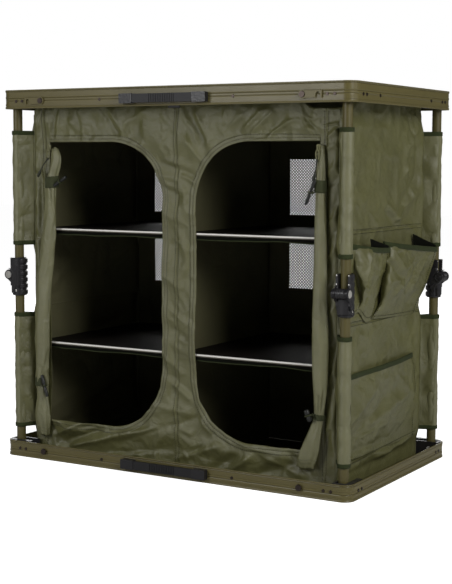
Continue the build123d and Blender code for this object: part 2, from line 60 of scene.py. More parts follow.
# Sizes of the fabric cabinet, read from the frame where the frame has them
front_low, front_high = box_mm("front_panel")
wall_x = front_high[0]
wall_y = -front_low[1]
cloth_low = front_low[2]
cloth_high = front_high[2]
rail_under = box_mm("top_rail")[0][2]
shelf_levels = [box_mm(f"{level}_shelf_boards")[1][2] - 2 for level in ("lower", "upper")]
door_inners, door_outer = {-1: 33.0, 1: 43.0}, wall_x - 39
door_low, door_high = 77.0, 655.0
door_low_radius, door_high_radius = 125.0, 120.0
window_inner, window_outer = 47.0, wall_x - 45
window_levels = ((340.0, 443.0), (500.0, 622.0))
seam_x = wall_x - 26
side_seams = (313.0, 486.0)
seam_rows = (-4, 4)
stitch_pitch, stitch_length, stitch_radius = 4.8, 3.3, 0.55
cloth_gap = 2.4
cloth_thickness = 0.8
legs = {"front_left": (-1, -1), "front_right": (1, -1), "back_right": (1, 1), "back_left": (-1, 1)}
leg_x, leg_y = 376.0, 212.0
sleeve_levels = {"lower": (60.0, 300.0), "upper": (443.0, 677.0)}
sleeve_radius = 12.0


# Numbers that shape the cloth


def smoothstep(value, low, high):
    t = np.clip((value - low) / (high - low), 0, 1)
    return t * t * (3 - 2 * t)


def between(value, low, high, soft):
    """1 from low to high, falling to 0 at both ends within soft."""
    return smoothstep(value, low, low + soft) * smoothstep(-value, -high, -high + soft)


def noise(a, b, size, seed):
    """Smooth random height from -1 to 1, with features of about size."""
    a, b = a / size + 13.7 * seed, b / size - 7.9 * seed
    cell_a, cell_b = np.floor(a), np.floor(b)
    step_a, step_b = a - cell_a, b - cell_b
    blend_a = step_a**3 * (step_a * (6 * step_a - 15) + 10)
    blend_b = step_b**3 * (step_b * (6 * step_b - 15) + 10)

    def corner(da, db):
        value = np.sin((cell_a + da) * 12.9898 + (cell_b + db) * 78.233 + seed) * 43758.5453
        return 2 * (value - np.floor(value)) - 1

    low = corner(0, 0) * (1 - blend_a) + corner(1, 0) * blend_a
    high = corner(0, 1) * (1 - blend_a) + corner(1, 1) * blend_a
    return low * (1 - blend_b) + high * blend_b


def creased(a, b, size, seed):
    """Random height from -1 to 1 with sharp ridges, as in stiff coated cloth."""
    shift = 0.5 * size
    warped_a = a + shift * noise(a, b, 1.7 * size, seed + 5)
    warped_b = b + shift * noise(a, b, 1.7 * size, seed + 9)
    return 1 - 2.6 * np.abs(noise(warped_a, warped_b, size, seed))


def folds(a, b, listed):
    """Height of single folds. Each has a start, an end, a width and a height, and opens out towards its end."""
    total = np.zeros(np.broadcast(a, b).shape)
    for a0, b0, a1, b1, width, height in listed:
        run_a, run_b = a1 - a0, b1 - b0
        length = hypot(run_a, run_b)
        along = ((a - a0) * run_a + (b - b0) * run_b) / length**2
        across = ((a - a0) * run_b - (b - b0) * run_a) / length
        fade = smoothstep(along, -0.25, 0.25) * smoothstep(1 - along, -0.25, 0.25)
        spread = width * (0.6 + 0.8 * np.clip(along, 0, 1))
        total += 3.6 * height * fade * np.exp(0.25 - np.sqrt((across / spread) ** 2 + 0.0625))
    return total


def groove(distance, width, depth):
    return -depth * np.exp(-((distance / width) ** 2))


# Folds of each wall, those in view read from the photograph: start, end, width, height
front_folds = [
    (-312, 78, -236, 62, 9, 2.4), (-296, 40, -262, 20, 8, -3.0), (-334, 600, -330, 400, 5, -3.0),
    (-342, 620, -338, 380, 4, 1.5), (-333, 330, -329, 140, 5, -2.6), (322, 640, 326, 420, 5, -3.0),
    (330, 330, 324, 120, 5, -3.0), (334, 110, 318, 20, 7, -4.0), (23, 715, 68, 648, 7, -3.2),
    (12, 712, 52, 640, 9, 1.6), (46, 704, 80, 636, 8, 2.2), (25, 684, 50, 634, 5, -1.4),
    (-171, 716, -135, 664, 7, -2.4), (-158, 716, -118, 668, 7, 1.6), (120, 684, 162, 712, 6, 1.5),
    (150, 676, 192, 712, 5, 1.7), (170, 672, 214, 708, 5, 1.9), (210, 669, 250, 694, 5, 1.5),
    (196, 664, 240, 700, 6, -1.3), (206, 666, 270, 703, 5, 1.3), (287, 716, 312, 658, 7, -2.6),
    (278, 716, 302, 658, 6, 2.2), (-120, 690, -60, 720, 8, 1.4), (-262, 700, -214, 668, 8, 1.5),
    (-292, 716, -306, 660, 7, -2.0), (-282, 716, -292, 662, 7, 1.8), (-240, 712, -226, 668, 6, -1.2),
    (5, 603, 44, 586, 4, -1.3), (-40, 614, 5, 600, 4, -1.3), (-36, 622, 8, 608, 4, 1.4), (9, 590, 44, 575, 4, 1.2),
    (19, 662, 58, 620, 6, 1.6), (-31, 566, 8, 548, 4, -1.2), (-30, 574, 10, 557, 4, 1.3),
    (-28, 512, 14, 494, 5, 1.0), (-12, 470, 30, 440, 5, 1.1), (-30, 392, 8, 366, 5, 1.0),
    (-22, 330, 30, 296, 6, 1.3), (-30, 300, 24, 268, 5, -1.1), (-32, 236, 14, 196, 6, 1.4),
    (-18, 196, 34, 160, 6, -1.3), (-14, 182, 38, 146, 5, 1.4), (-60, 134, 30, 120, 7, 1.5),
    (-291, 50, -163, 106, 10, 3.0), (-280, 34, -176, 70, 6, -2.8), (-268, 24, -78, 76, 7, 2.8),
    (-236, 66, -120, 96, 8, -1.8), (-163, 108, -28, 121, 8, 2.0), (-151, 62, -12, 90, 9, 2.6),
    (-155, 22, -10, 45, 8, -2.4), (-180, 12, -40, 36, 7, 1.8), (-306, 60, -282, 32, 6, -2.0),
    (-66, 74, 0, 98, 6, -2.0), (4, 29, 112, 70, 8, 2.8), (15, 32, 62, 60, 5, -1.6), (80, 15, 134, 48, 8, -2.8),
    (10, 101, 50, 117, 5, -1.7), (10, 88, 37, 81, 5, 1.5), (56, 110, 80, 90, 5, 1.4), (128, 22, 178, 56, 8, 2.8),
    (188, 20, 260, 46, 9, -2.8), (150, 74, 262, 58, 8, 1.9), (200, 56, 286, 26, 9, 2.2), (252, 70, 300, 30, 7, -1.8),
    (324, 657, 352, 687, 5, 1.8), (326, 640, 354, 652, 5, 1.5), (326, 700, 349, 711, 4, 1.4),
    (331, 572, 356, 597, 5, -2.2), (328, 592, 352, 620, 5, 1.6), (336, 528, 356, 557, 5, -2.0),
    (331, 502, 356, 527, 5, 1.8), (336, 479, 354, 500, 4, -1.6), (330, 440, 354, 466, 5, 1.5),
    (330, 380, 352, 410, 5, -1.6), (330, 332, 352, 356, 5, 1.5), (330, 262, 352, 292, 5, -1.6),
    (330, 214, 352, 240, 5, 1.5), (330, 120, 352, 152, 5, 1.6), (-352, 640, -330, 668, 5, 1.6),
    (-352, 600, -330, 574, 5, -1.8), (-352, 540, -332, 512, 5, 1.6), (-352, 470, -330, 446, 5, -1.6),
    (-352, 380, -330, 352, 5, 1.5), (-352, 300, -330, 272, 5, -1.6), (-352, 230, -330, 202, 5, 1.6),
    (-352, 140, -330, 108, 5, 1.5),
]
right_folds = [
    (-168, 113, -36, 184, 9, 3.2), (-150, 96, 20, 164, 10, -2.6), (-118, 113, 131, 150, 9, -3.0),
    (-110, 90, 120, 118, 10, 2.6), (-150, 72, 155, 64, 8, -2.6), (-150, 60, 30, 44, 6, 3.0),
    (-160, 45, -6, 55, 5, -3.0), (-20, 38, 150, 48, 7, 2.4), (-160, 27, 150, 30, 5, -2.6),
    (60, 190, 160, 120, 9, 1.8), (-182, 640, -150, 690, 8, 1.6), (110, 640, 176, 700, 9, 2.4),
    (120, 700, 180, 610, 8, -1.6), (96, 588, 170, 660, 8, 1.8), (60, 500, 170, 560, 8, 2.2),
    (80, 520, 176, 596, 8, -1.8), (15, 520, 68, 490, 6, -1.9), (22, 534, 84, 498, 6, 1.8),
    (-128, 500, -145, 486, 5, -1.4), (-60, 520, -20, 490, 6, 1.2), (110, 492, 168, 470, 6, 1.5),
    (-176, 330, -160, 250, 8, 1.8), (-178, 700, -188, 560, 7, 1.5), (150, 400, 184, 330, 8, 1.8),
]
left_folds = [
    (-170, 120, 40, 60, 9, 2.6), (-60, 150, 150, 90, 9, -2.4), (-150, 40, 150, 50, 6, 2.4),
    (-150, 30, 120, 28, 5, -2.2), (-176, 690, -120, 620, 8, 1.8), (120, 620, 180, 700, 8, 2.0),
    (-60, 560, 60, 520, 8, 1.6), (-160, 420, -60, 370, 8, 1.6), (40, 420, 160, 340, 8, -1.8),
    (-120, 260, 60, 220, 8, 1.8),
]
back_folds = [
    (-330, 700, -260, 640, 9, 2.4), (330, 700, 250, 640, 9, 2.4), (-40, 716, -10, 640, 8, -2.0),
    (20, 716, 44, 646, 8, 1.8), (-300, 40, -120, 150, 10, 2.8), (-240, 30, -60, 100, 9, -2.4),
    (300, 50, 120, 130, 10, 2.6), (220, 30, 60, 90, 8, -2.2), (-200, 220, -40, 280, 9, 2.0),
    (60, 290, 220, 230, 9, 2.0), (-330, 300, -300, 160, 8, 1.8), (330, 320, 306, 180, 8, 1.8),
]


def inward_room(z):
    """How far the walls may lean in: hardly at all beside a shelf."""
    near = np.min([np.abs(z - level) for level in shelf_levels], axis=0)
    return 0.4 + 5.2 * smoothstep(near, 8, 30)


def kept_clear(out, z):
    room = inward_room(z)
    return np.where(out < 0, -room * (1 - np.exp(out / room)), out)


def sweeps(across, z, lean, size, seed):
    """Long soft folds that run at a slant, given as the rise over the run."""
    length = hypot(1, lean)
    return noise((lean * across - z) / length, 0.22 * (across + lean * z) / length, size, seed)


def gathers(across, z, seed):
    """Small folds that hang from the top edge, and lie calmer further down."""
    return smoothstep(z, 640, 740) * (
        1.6 * noise(across, 0.25 * z, 26, seed) + 1.0 * creased(across, 0.3 * z, 34, seed + 1)
    )


def front_out(x, z):
    """How far the front stands out from its flat place."""
    out = 1.8 * noise(x, z, 150, 1) + 1.4 * noise(x, z, 60, 2) + 2.3 * creased(x, 0.8 * z, 46, 3)
    out = out + 0.9 * creased(x + 0.5 * z, z - 0.4 * x, 21, 4)
    out = out + gathers(x, z, 7) + folds(x, z, front_folds)
    above = 2.8 * sweeps(x, z, -1.1, 34, 13) * smoothstep(z, 560, 640)
    out = out + above + 2.8 * sweeps(x, z, 0.45, 30, 14) * (1 - smoothstep(z, 60, 130))
    out = out + 2.3 * sweeps(x, z, -0.5, 24, 16) * smoothstep(-np.abs(x), -60, -20)
    out = out + 1.6 * smoothstep(-z, -120, -20) * noise(x, z, 90, 12)
    behind_rolls = between(np.abs(x), 296, 346, 8)
    out = out * (1 - 0.25 * behind_rolls)
    for seam in (-seam_x, 0.0, seam_x):
        out = out + groove(x - seam, 0.9, 1.2) - 0.25 * groove(np.abs(x - seam) - 4, 2.0, 1.0)
    edge = smoothstep(np.abs(x), wall_x - 5, wall_x)
    return kept_clear(2.2 + out, z) * (1 - edge)


def drawn_out(y, z):
    """The side walls are drawn out to the legs where the sleeves are."""
    beside = sum(between(z, low - 30, high + 30, 40) for low, high in sleeve_levels.values())
    return 7.0 * beside * smoothstep(np.abs(y), wall_y - 46, wall_y) ** 2


def right_out(y, z):
    out = 1.6 * noise(y, z, 140, 21) + 1.2 * noise(y, z, 60, 22) + 1.6 * creased(y, z, 44, 23)
    out = out + 0.7 * creased(y - 0.5 * z, z + 0.4 * y, 20, 24)
    out = out + 0.6 * gathers(y, z, 27) + folds(y, z, right_folds)
    below = 2.0 * sweeps(y, z, 0.9, 36, 25) * (1 - smoothstep(z, 210, 300))
    out = out + below + 2.2 * sweeps(y, z, 1.6, 32, 26) * smoothstep(z, 470, 540) * smoothstep(y, -40, 120)
    out = out - 5 * (1 - smoothstep(z, 0, 70))
    for seam in side_seams:
        out = out + groove(z - seam, 0.9, 1.2) - 0.5 * groove(np.abs(z - seam) - 4, 2.0, 0.9)
    edge = smoothstep(np.abs(y), wall_y - 5, wall_y)
    return kept_clear(1.8 + out, z) * (1 - edge) + drawn_out(y, z)


def left_out(y, z):
    out = 1.3 * noise(y, z, 130, 31) + 0.9 * noise(y, z, 60, 32) + 1.0 * creased(y, z, 50, 33)
    out = out + 0.6 * gathers(y, z, 37) + folds(y, z, left_folds)
    for seam in side_seams:
        out = out + groove(z - seam, 0.9, 1.2)
    edge = smoothstep(np.abs(y), wall_y - 5, wall_y)
    return kept_clear(0.4 + out, z) * (1 - edge) + drawn_out(y, z)


def back_out(x, z):
    out = 1.4 * noise(x, z, 150, 41) + 1.0 * noise(x, z, 60, 42) + 1.0 * creased(x, z, 50, 43)
    out = out + gathers(x, z, 47) + folds(x, z, back_folds)
    out = out + groove(x, 0.9, 1.3)
    edge = smoothstep(np.abs(x), wall_x - 5, wall_x)
    return kept_clear(0.4 + out, z) * (1 - edge)


def dip(wall, across, z):
    """How far the cloth hangs down from the rail near the cabinet's corners."""
    half = wall_y if wall in ("left", "right") else wall_x
    if wall == "front":
        amount = 43 * smoothstep(across, 236, 300) + 40 * smoothstep(-across, 322, 349)
    elif wall == "right":
        amount = 42 * smoothstep(-across, 130, 180) + 24 * smoothstep(across, 150, 186)
    else:
        amount = 40 * smoothstep(np.abs(across), half - 50, half - 6)
    return amount * smoothstep(z, 655, 757)



# Each wall's number of quarter turns from the front, its surface and the way that it faces
walls = {"front": (0, front_out), "right": (1, right_out), "back": (2, back_out), "left": (3, left_out)}
outwards = {"front": (0, -1, 0), "right": (1, 0, 0), "back": (0, 1, 0), "left": (-1, 0, 0)}


def on_wall(wall, across, z, lift=0.0):
    """Points on one wall's cloth. Across runs to the right, seen from outside."""
    quarter, surface = walls[wall]
    across, z = np.broadcast_arrays(across, z)
    out = (wall_y, wall_x)[quarter % 2] + surface(across, z) + lift
    z = z - dip(wall, across, z)
    turned = {0: (across, -out), 1: (out, across), 2: (-across, out), 3: (-out, -across)}[quarter]
    return np.stack([*turned, z], -1)


# Meshes


def xyz(x, y, z):
    """Points from their three coordinates, each an array or a number."""
    return np.stack(np.broadcast_arrays(x, y, z), -1)


def lengths(path):
    """Length of each step of a path."""
    return np.linalg.norm(np.diff(path, axis=0), axis=1)


def quads(rows, columns, around=False):
    """Faces of a grid of points. Around joins the last column to the first."""
    index = np.arange(rows * columns).reshape(rows, columns)
    if around:
        index = np.concatenate([index, index[:, :1]], axis=1)
    return np.stack([index[:-1, :-1], index[:-1, 1:], index[1:, 1:], index[1:, :-1]], -1).reshape(-1, 4)

def grid(rows, around=False, way=1):
    """A mesh of rows of points. Its faces look the other way if way is -1."""
    points = np.asarray(rows)
    return points, quads(*points.shape[:2], around)[:, ::way]


def capped(rows, columns):
    """Faces round a row of rings, with both ends closed."""
    faces = [tuple(face) for face in quads(rows, columns, True)]
    return faces + [tuple(range(columns))[::-1], tuple((rows - 1) * columns + i for i in range(columns))]


def ticks(low, high, step, marks=()):
    """Places from low to high about step apart, with the marks among them."""
    regular = np.linspace(low, high, max(2, int(round((high - low) / step)) + 1))
    marks = np.array([m for m in marks if low < m < high])
    if len(marks):
        clear = np.abs(regular[:, None] - marks[None]).min(1) > 0.3 * step
        clear[[0, -1]] = True
        regular = np.concatenate([regular[clear], marks])
    return np.unique(regular)


def seam_marks(*seams):
    return [seam + shift for seam in seams for shift in (-5, -2.5, -1.2, -0.5, 0, 0.5, 1.2, 2.5, 5)]


def joined(parts):
    """Several (points, faces) as one."""
    points, faces, start = [], [], 0
    for some_points, some_faces in parts:
        some_points = np.asarray(some_points).reshape(-1, 3)
        points.append(some_points)
        faces += [tuple(int(i) + start for i in face) for face in some_faces]
        start += len(some_points)
    return np.concatenate(points), faces


def shown(name, data):
    """An object in the scene."""
    made = bpy.data.objects.new(name, data)
    bpy.context.scene.collection.objects.link(made)
    return made


def make(name, points, faces, *materials, body="bottom_frame", finish=None):
    """A mesh piece that rides on a body. Points are in millimetres."""
    mesh = bpy.data.meshes.new(name)
    faces = [tuple(int(i) for i in face) for face in faces]
    mesh.from_pydata((np.asarray(points).reshape(-1, 3) / 1000).tolist(), [], faces)
    mesh.polygons.foreach_set("use_smooth", [True] * len(mesh.polygons))
    for material in materials:
        mesh.materials.append(material)
    piece = shown(name, mesh)
    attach(piece, body)
    if body == "bottom_frame":
        # the whole cabinet lies down flat as the legs fold
        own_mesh(piece)
    return piece


def thicken(piece, thickness=cloth_thickness, lined=False):
    """Gives a single layer of cloth its thickness, inwards, with its second material on the inside."""
    solidify = piece.modifiers.new("thickness", "SOLIDIFY")
    solidify.thickness = thickness / 1000
    solidify.offset = -1
    if lined:
        solidify.material_offset = 1
        solidify.material_offset_rim = 1


def doorway(side):
    """Outline of a doorway, from its lower outer corner round by the middle post to its upper outer corner."""
    arc = np.linspace(0, pi / 2, 40)
    door_inner = door_inners[side]
    low_x, low_z = door_inner + door_low_radius, door_low + door_low_radius
    high_x, high_z = door_inner + door_high_radius, door_high - door_high_radius
    bottom = [(x, door_low) for x in ticks(low_x, door_outer, 4)[::-1][:-1]]
    low_arc = list(zip(low_x - door_low_radius * np.sin(arc), low_z - door_low_radius * np.cos(arc)))
    post = [(door_inner, z) for z in ticks(low_z, high_z, 4)[1:-1]]
    high_arc = list(zip(high_x - door_high_radius * np.cos(arc), high_z + door_high_radius * np.sin(arc)))
    top = [(x, door_high) for x in ticks(high_x, door_outer, 4)[1:]]
    return np.array(bottom + low_arc + post + high_arc + top) * (side, 1)


def in_doorway(x, z):
    door_inner = np.where(x < 0, door_inners[-1], door_inners[1])
    x = np.abs(x)
    inside = (x > door_inner) & (x < door_outer) & (z > door_low) & (z < door_high)
    low_x, low_z = door_inner + door_low_radius, door_low + door_low_radius
    high_x, high_z = door_inner + door_high_radius, door_high - door_high_radius
    low_cut = (x < low_x) & (z < low_z) & (np.hypot(x - low_x, z - low_z) > door_low_radius)
    high_cut = (x < high_x) & (z > high_z) & (np.hypot(x - high_x, z - high_z) > door_high_radius)
    return inside & ~low_cut & ~high_cut


def in_window(x, z):
    tall = sum((z > low) & (z < high) for low, high in window_levels) > 0
    return (np.abs(x) > window_inner) & (np.abs(x) < window_outer) & tall


def wall_sheet(wall, across, heights, lift=0.0, hole=None, outline=None):
    """Points and faces of a wall's cloth, with its holes cut out and their edges drawn to the outline."""
    a, z = (values.ravel() for values in np.meshgrid(across, heights))
    faces = quads(len(heights), len(across))
    if hole is not None:
        gone = hole(a[faces].mean(1), z[faces].mean(1))
        border = np.intersect1d(faces[gone], faces[~gone])
        faces = faces[~gone]
        if outline is not None:
            reach = np.hypot(a[border, None] - outline[None, :, 0], z[border, None] - outline[None, :, 1])
            nearest = outline[reach.argmin(1)]
            a[border], z[border] = nearest[:, 0], nearest[:, 1]
    used, renumbered = np.unique(faces, return_inverse=True)
    return on_wall(wall, a[used], z[used], lift), renumbered.reshape(-1, 4)


def sideways(path, closed):
    """Unit vectors to the left of a flat path, stretched at corners so that a band keeps its width."""
    path = np.asarray(path, float)
    before = np.roll(path, 1, 0)
    after = np.roll(path, -1, 0)
    if not closed:
        before[0] = 2 * path[0] - path[1]
        after[-1] = 2 * path[-1] - path[-2]
    first = path - before
    second = after - path
    first /= np.linalg.norm(first, axis=1)[:, None]
    second /= np.linalg.norm(second, axis=1)[:, None]
    middle = first + second
    middle /= np.linalg.norm(middle, axis=1)[:, None]
    stretch = 1 / np.maximum(0.6, (middle * first).sum(1))
    return np.stack([-middle[:, 1], middle[:, 0]], -1) * stretch[:, None]


def trim(wall, path, profile, closed=False, way=1):
    """A band sewn along a path on a wall. The profile lists distances to its left and heights above the cloth."""
    path = np.asarray(path, float)
    left = sideways(path, closed)
    places = [(path + left * distance, lift) for distance, lift in profile]
    return grid([on_wall(wall, *place.T, lift) for place, lift in places], closed, way)


def spaced(path, pitch):
    """Places along a path, pitch apart, with the way it runs there."""
    path = np.asarray(path, float)
    travelled = np.concatenate([[0], np.cumsum(lengths(path))])
    at = np.arange(pitch / 2, travelled[-1], pitch)

    def place(where):
        return np.stack([np.interp(where, travelled, path[:, i]) for i in range(path.shape[1])], -1)

    way = place(at + 0.3) - place(at - 0.3)
    return place(at), way / np.linalg.norm(way, axis=1)[:, None]


def stitches(path, outward):
    """A row of sewing stitches along a path in space: small pills of thread."""
    places, way = spaced(path, stitch_pitch)
    outward = np.broadcast_to(np.asarray(outward, float), places.shape)
    side = np.cross(way, outward)
    side /= np.linalg.norm(side, axis=1)[:, None]
    up = np.cross(side, way)
    points = []
    for along, size in ((-0.5, 0.3), (-0.28, 1.0), (0.28, 1.0), (0.5, 0.3)):
        for around in range(5):
            turn = 2 * pi * around / 5
            ring = side * (cos(turn) * stitch_radius * size) + up * (sin(turn) * stitch_radius * size)
            points.append(places + way * (along * stitch_length) + ring)
    pill = capped(4, 5)
    faces = [tuple(i + 20 * n for i in face) for n in range(len(places)) for face in pill]
    return np.stack(points, 1).reshape(-1, 3), faces


def sewn(wall, across, z, lift=0.35):
    """A row of stitches on a wall."""
    return stitches(on_wall(wall, across, z, lift), outwards[wall])


def tube(path, radius, sides=8, closed=False):
    """A round bar along a path. The radius may change from point to point."""
    path = np.asarray(path, float)
    radius = np.broadcast_to(np.asarray(radius, float), len(path))
    way = np.roll(path, -1, 0) - np.roll(path, 1, 0) if closed else np.gradient(path, axis=0)
    way /= np.linalg.norm(way, axis=1)[:, None]
    side = np.cross(way[0], (0.31, 0.17, 0.93))
    side /= np.linalg.norm(side)
    rings = []
    for place, ahead, size in zip(path, way, radius):
        side = side - ahead * side.dot(ahead)
        side /= np.linalg.norm(side)
        other = np.cross(ahead, side)
        turn = np.arange(sides) * 2 * pi / sides
        rings.append(place + size * (np.cos(turn)[:, None] * side + np.sin(turn)[:, None] * other))
    faces = capped(len(path), sides)
    if closed:
        last = (len(path) - 1) * sides
        shift = int(np.argmin(np.linalg.norm(rings[-1][0] - rings[0], axis=1)))
        faces = faces[:-2]
        for i in range(sides):
            j = (i + 1) % sides
            faces.append((last + i, last + j, (j + shift) % sides, (i + shift) % sides))
    return np.concatenate(rings), faces


def lathe(profile, centre, axis, sides=20):
    """A turned shape: pairs of radius and height along an axis from a centre."""
    turn = Vector(axis).normalized().to_track_quat("Z", "Y").to_matrix()
    points = []
    for radius, height in profile:
        for a in (2 * pi * i / sides for i in range(sides)):
            points.append(Vector(centre) + turn @ Vector((radius * cos(a), radius * sin(a), height)))
    return np.array(points), capped(len(profile), sides)


def crisp(piece, angle=35):
    """Keeps the sharp edges of a hard piece sharp."""
    piece.data.set_sharp_from_angle(angle=radians(angle))
    return piece


# Materials


def linear(red, green, blue):
    """A colour given as it looks on a screen, 0 to 255, as the renderer wants it."""
    values = []
    for value in (red, green, blue):
        value /= 255
        values.append(value / 12.92 if value <= 0.04045 else ((value + 0.055) / 1.055) ** 2.4)
    return (*values, 1.0)

def give(tree, socket, value):
    """Sets an input to a value, or links it to another node's socket."""
    if isinstance(value, bpy.types.NodeSocket):
        tree.links.new(value, socket)
    else:
        socket.default_value = value


def fill(tree, made, **values):
    """Gives a node's inputs and settings their values. A blank in an input's name is written as an underscore."""
    for key, value in values.items():
        label = key.replace("_", " ")
        if label in made.inputs:
            give(tree, made.inputs[label], value)
        else:
            setattr(made, key, value)
    return made


def node(tree, kind, **values):
    return fill(tree, tree.nodes.new("ShaderNode" + kind), **values)


def maths(tree, operation, *values):
    made = node(tree, "Math", operation=operation)
    for socket, value in zip(made.inputs, values):
        give(tree, socket, value)
    return made.outputs[0]


def ramp(tree, value, stops):
    """The colour that blends between stops, each a place and its colour."""
    made = node(tree, "ValToRGB", Fac=value)
    elements = made.color_ramp.elements
    for number, (at, colour) in enumerate(stops):
        element = elements[number] if number < 2 else elements.new(at)
        element.position = at
        element.color = (*colour[:3], 1)
    return made.outputs["Color"]


def height_share(tree):
    """How far up its object a place is, from 0 to 1."""
    return node(tree, "SeparateXYZ", Vector=node(tree, "TexCoord").outputs["Generated"]).outputs["Z"]


def new_material(name, colour, roughness, **values):
    material = bpy.data.materials.new(name)
    material.use_nodes = True
    tree = material.node_tree
    shader = fill(tree, tree.nodes["Principled BSDF"], Base_Color=linear(*colour), Roughness=roughness)
    return material, tree, fill(tree, shader, Sheen_Roughness=0.5, Coat_Roughness=0.3, **values)


def mottled(tree, shader, colour, scale, amount, tint=(1.0, 1.0, 1.0)):
    """Varies the colour a little from place to place."""
    place = node(tree, "TexCoord").outputs["Object"]
    cloud = node(tree, "TexNoise", Vector=place, Scale=scale, Detail=5.0, Roughness=0.6).outputs["Fac"]
    base = linear(*colour)[:3]
    dark = [c * (1 - amount) for c in base]
    light = [min(1, c * (1 + amount) * t) for c, t in zip(base, tint)]
    fill(tree, shader, Base_Color=ramp(tree, cloud, [(0.3, dark), (0.7, light)]))
    return place


def bumped(tree, shader, *layers):
    """Lays reliefs over a shader's own, each with its height, strength and distance."""
    for height, strength, distance in layers:
        bump = node(tree, "Bump", Height=height, Strength=strength, Distance=distance)
        for under in [link.from_socket for link in shader.inputs["Normal"].links]:
            fill(tree, bump, Normal=under)
        fill(tree, shader, Normal=bump.outputs["Normal"])


def wave_scale(period):
    """The scale at which a wave texture repeats after a number of millimetres."""
    return 2 * pi / (20 * period / 1000)


def cloth_material(name, colour, wrinkle=0.7, roughness=0.4):
    """Woven cloth: two sets of threads across each other, small wrinkles and an uneven colour."""
    material, tree, shader = new_material(name, colour, roughness, Specular_IOR_Level=0.75)
    place = mottled(tree, shader, colour, 16, 0.09, (1.0, 1.0, 0.96))
    split = node(tree, "SeparateXYZ", Vector=place).outputs
    both = node(tree, "CombineXYZ", X=maths(tree, "ADD", split["X"], split["Y"]), Y=split["Z"]).outputs[0]
    wave = dict(Vector=both, Scale=wave_scale(0.7), Distortion=0.6, Detail=1.0, Detail_Scale=0.4)
    threads = [node(tree, "TexWave", bands_direction=way, **wave).outputs["Fac"] for way in ("X", "Y")]
    rough = dict(Vector=place, Distortion=0.7)
    crumple = node(tree, "TexNoise", Scale=36.0, Detail=3.0, Roughness=0.55, **rough).outputs["Fac"]
    crease = node(tree, "TexNoise", Scale=7.0, Detail=1.5, Roughness=0.4, **rough).outputs["Fac"]
    # the fold's height is the distance from the middle of the noise, which makes sharp ridges
    sharp = maths(tree, "ABSOLUTE", maths(tree, "SUBTRACT", crease, 0.5))
    woven = maths(tree, "MULTIPLY", *threads)
    bumped(tree, shader, (woven, 0.35, 0.0003), (crumple, wrinkle, 0.0042), (sharp, wrinkle, 0.012))
    return material


def grained(name, colour, roughness, patches, texture, relief, **values):
    """A material with an uneven colour, a texture over it and that texture's relief (output, strength, distance)."""
    material, tree, shader = new_material(name, colour, roughness, **values)
    place = mottled(tree, shader, colour, *patches)
    output, strength, distance = relief
    bumped(tree, shader, (node(tree, Vector=place, **texture).outputs[output], strength, distance))
    return material, tree, shader, place


def ribbed_material(name, colour, period, direction="DIAGONAL"):
    """Webbing or binding with a rib across it."""
    rib = dict(kind="TexWave", Scale=wave_scale(period), Distortion=0.3, bands_direction=direction)
    values = dict(Specular_IOR_Level=0.14, Sheen_Weight=0.03)
    return grained(name, colour, 0.7, (60, 0.12), rib, ("Fac", 0.6, 0.0004), **values)[0]


def painted_material(name, colour, roughness=0.42, grain=900, depth=0.00006, specular=0.5):
    """Paint baked on metal: an even colour with a fine orange-peel surface and a few duller places."""
    peel = dict(kind="TexNoise", Scale=grain, Detail=2.0)
    values = dict(Specular_IOR_Level=specular, Coat_Weight=0.08)
    material, tree, shader, place = grained(
        name, colour, roughness, (9, 0.05), peel, ("Fac", 0.5, depth), **values
    )
    dull = node(tree, "TexNoise", Vector=place, Scale=22.0, Detail=6.0).outputs["Fac"]
    reach = node(tree, "MapRange", Value=dull, To_Min=roughness - 0.06, To_Max=roughness + 0.1)
    fill(tree, shader, Roughness=reach.outputs["Result"])
    return material


def plastic_material(name, colour, roughness=0.5, grain=420, depth=0.00012, specular=0.45):
    """Moulded plastic with a fine grain."""
    spots = dict(kind="TexVoronoi", Scale=grain)
    return grained(
        name, colour, roughness, (30, 0.08), spots, ("Distance", 0.5, depth), Specular_IOR_Level=specular
    )[0]


def metal_material(name, colour, roughness):
    """Bare metal with fine scratches."""
    scratch = dict(kind="TexNoise", Scale=700.0, Detail=3.0)
    return grained(name, colour, roughness, (120, 0.12), scratch, ("Fac", 0.3, 0.00005), Metallic=1.0)[0]


olive = cloth_material("olive_cloth", (101, 100, 62))
# a lighter copy of the same olive cloth for the rolls and sleeves: a painted highlight for the light that their round
# surfaces catch
olive_painted_highlight = cloth_material("olive_roll", (118, 117, 84), wrinkle=0.6)
olive_hem = cloth_material("olive_hem", (104, 103, 70), wrinkle=0.6)
lining = cloth_material("dark_cloth", (88, 85, 54), wrinkle=0.4, roughness=0.8)
# a near-black sheet of painted shade: in the pockets' mouths, and between the shelf trims and their hems
painted_shade_cloth = new_material("pocket_dark", (14, 15, 9), 0.9, Specular_IOR_Level=0.08)[0]
binding = ribbed_material("green_binding", (53, 60, 34), 1.4)
webbing = ribbed_material("green_webbing", (66, 70, 47), 1.8, direction="Z")
net_thread = ribbed_material("grey_mesh", (96, 92, 66), 0.8)
thread = ribbed_material("thread", (46, 46, 26), 0.5)
rail_paint = painted_material("frame_metal", (106, 98, 59), roughness=0.4, specular=0.42)
tube_paint = painted_material("leg_tube", (92, 85, 48), roughness=0.4, specular=0.4)
panel_paint = painted_material("case_panel", (98, 91, 64), roughness=0.55, grain=420, depth=0.00012)
black = plastic_material("black_plastic", (38, 37, 39), roughness=0.33, grain=260, depth=0.0004)
grip_black = plastic_material("grip_plastic", (26, 25, 27), roughness=0.5)
toggle_plastic = plastic_material("toggle_plastic", (34, 35, 32), roughness=0.42)
grey = plastic_material("grey_pin", (172, 170, 164), roughness=0.35)
puller_plastic = plastic_material("puller_plastic", (36, 39, 26), roughness=0.5)
rivet_steel = metal_material("steel", (74, 66, 62), 0.38)
stud_steel = metal_material("stud_steel", (196, 194, 190), 0.2)
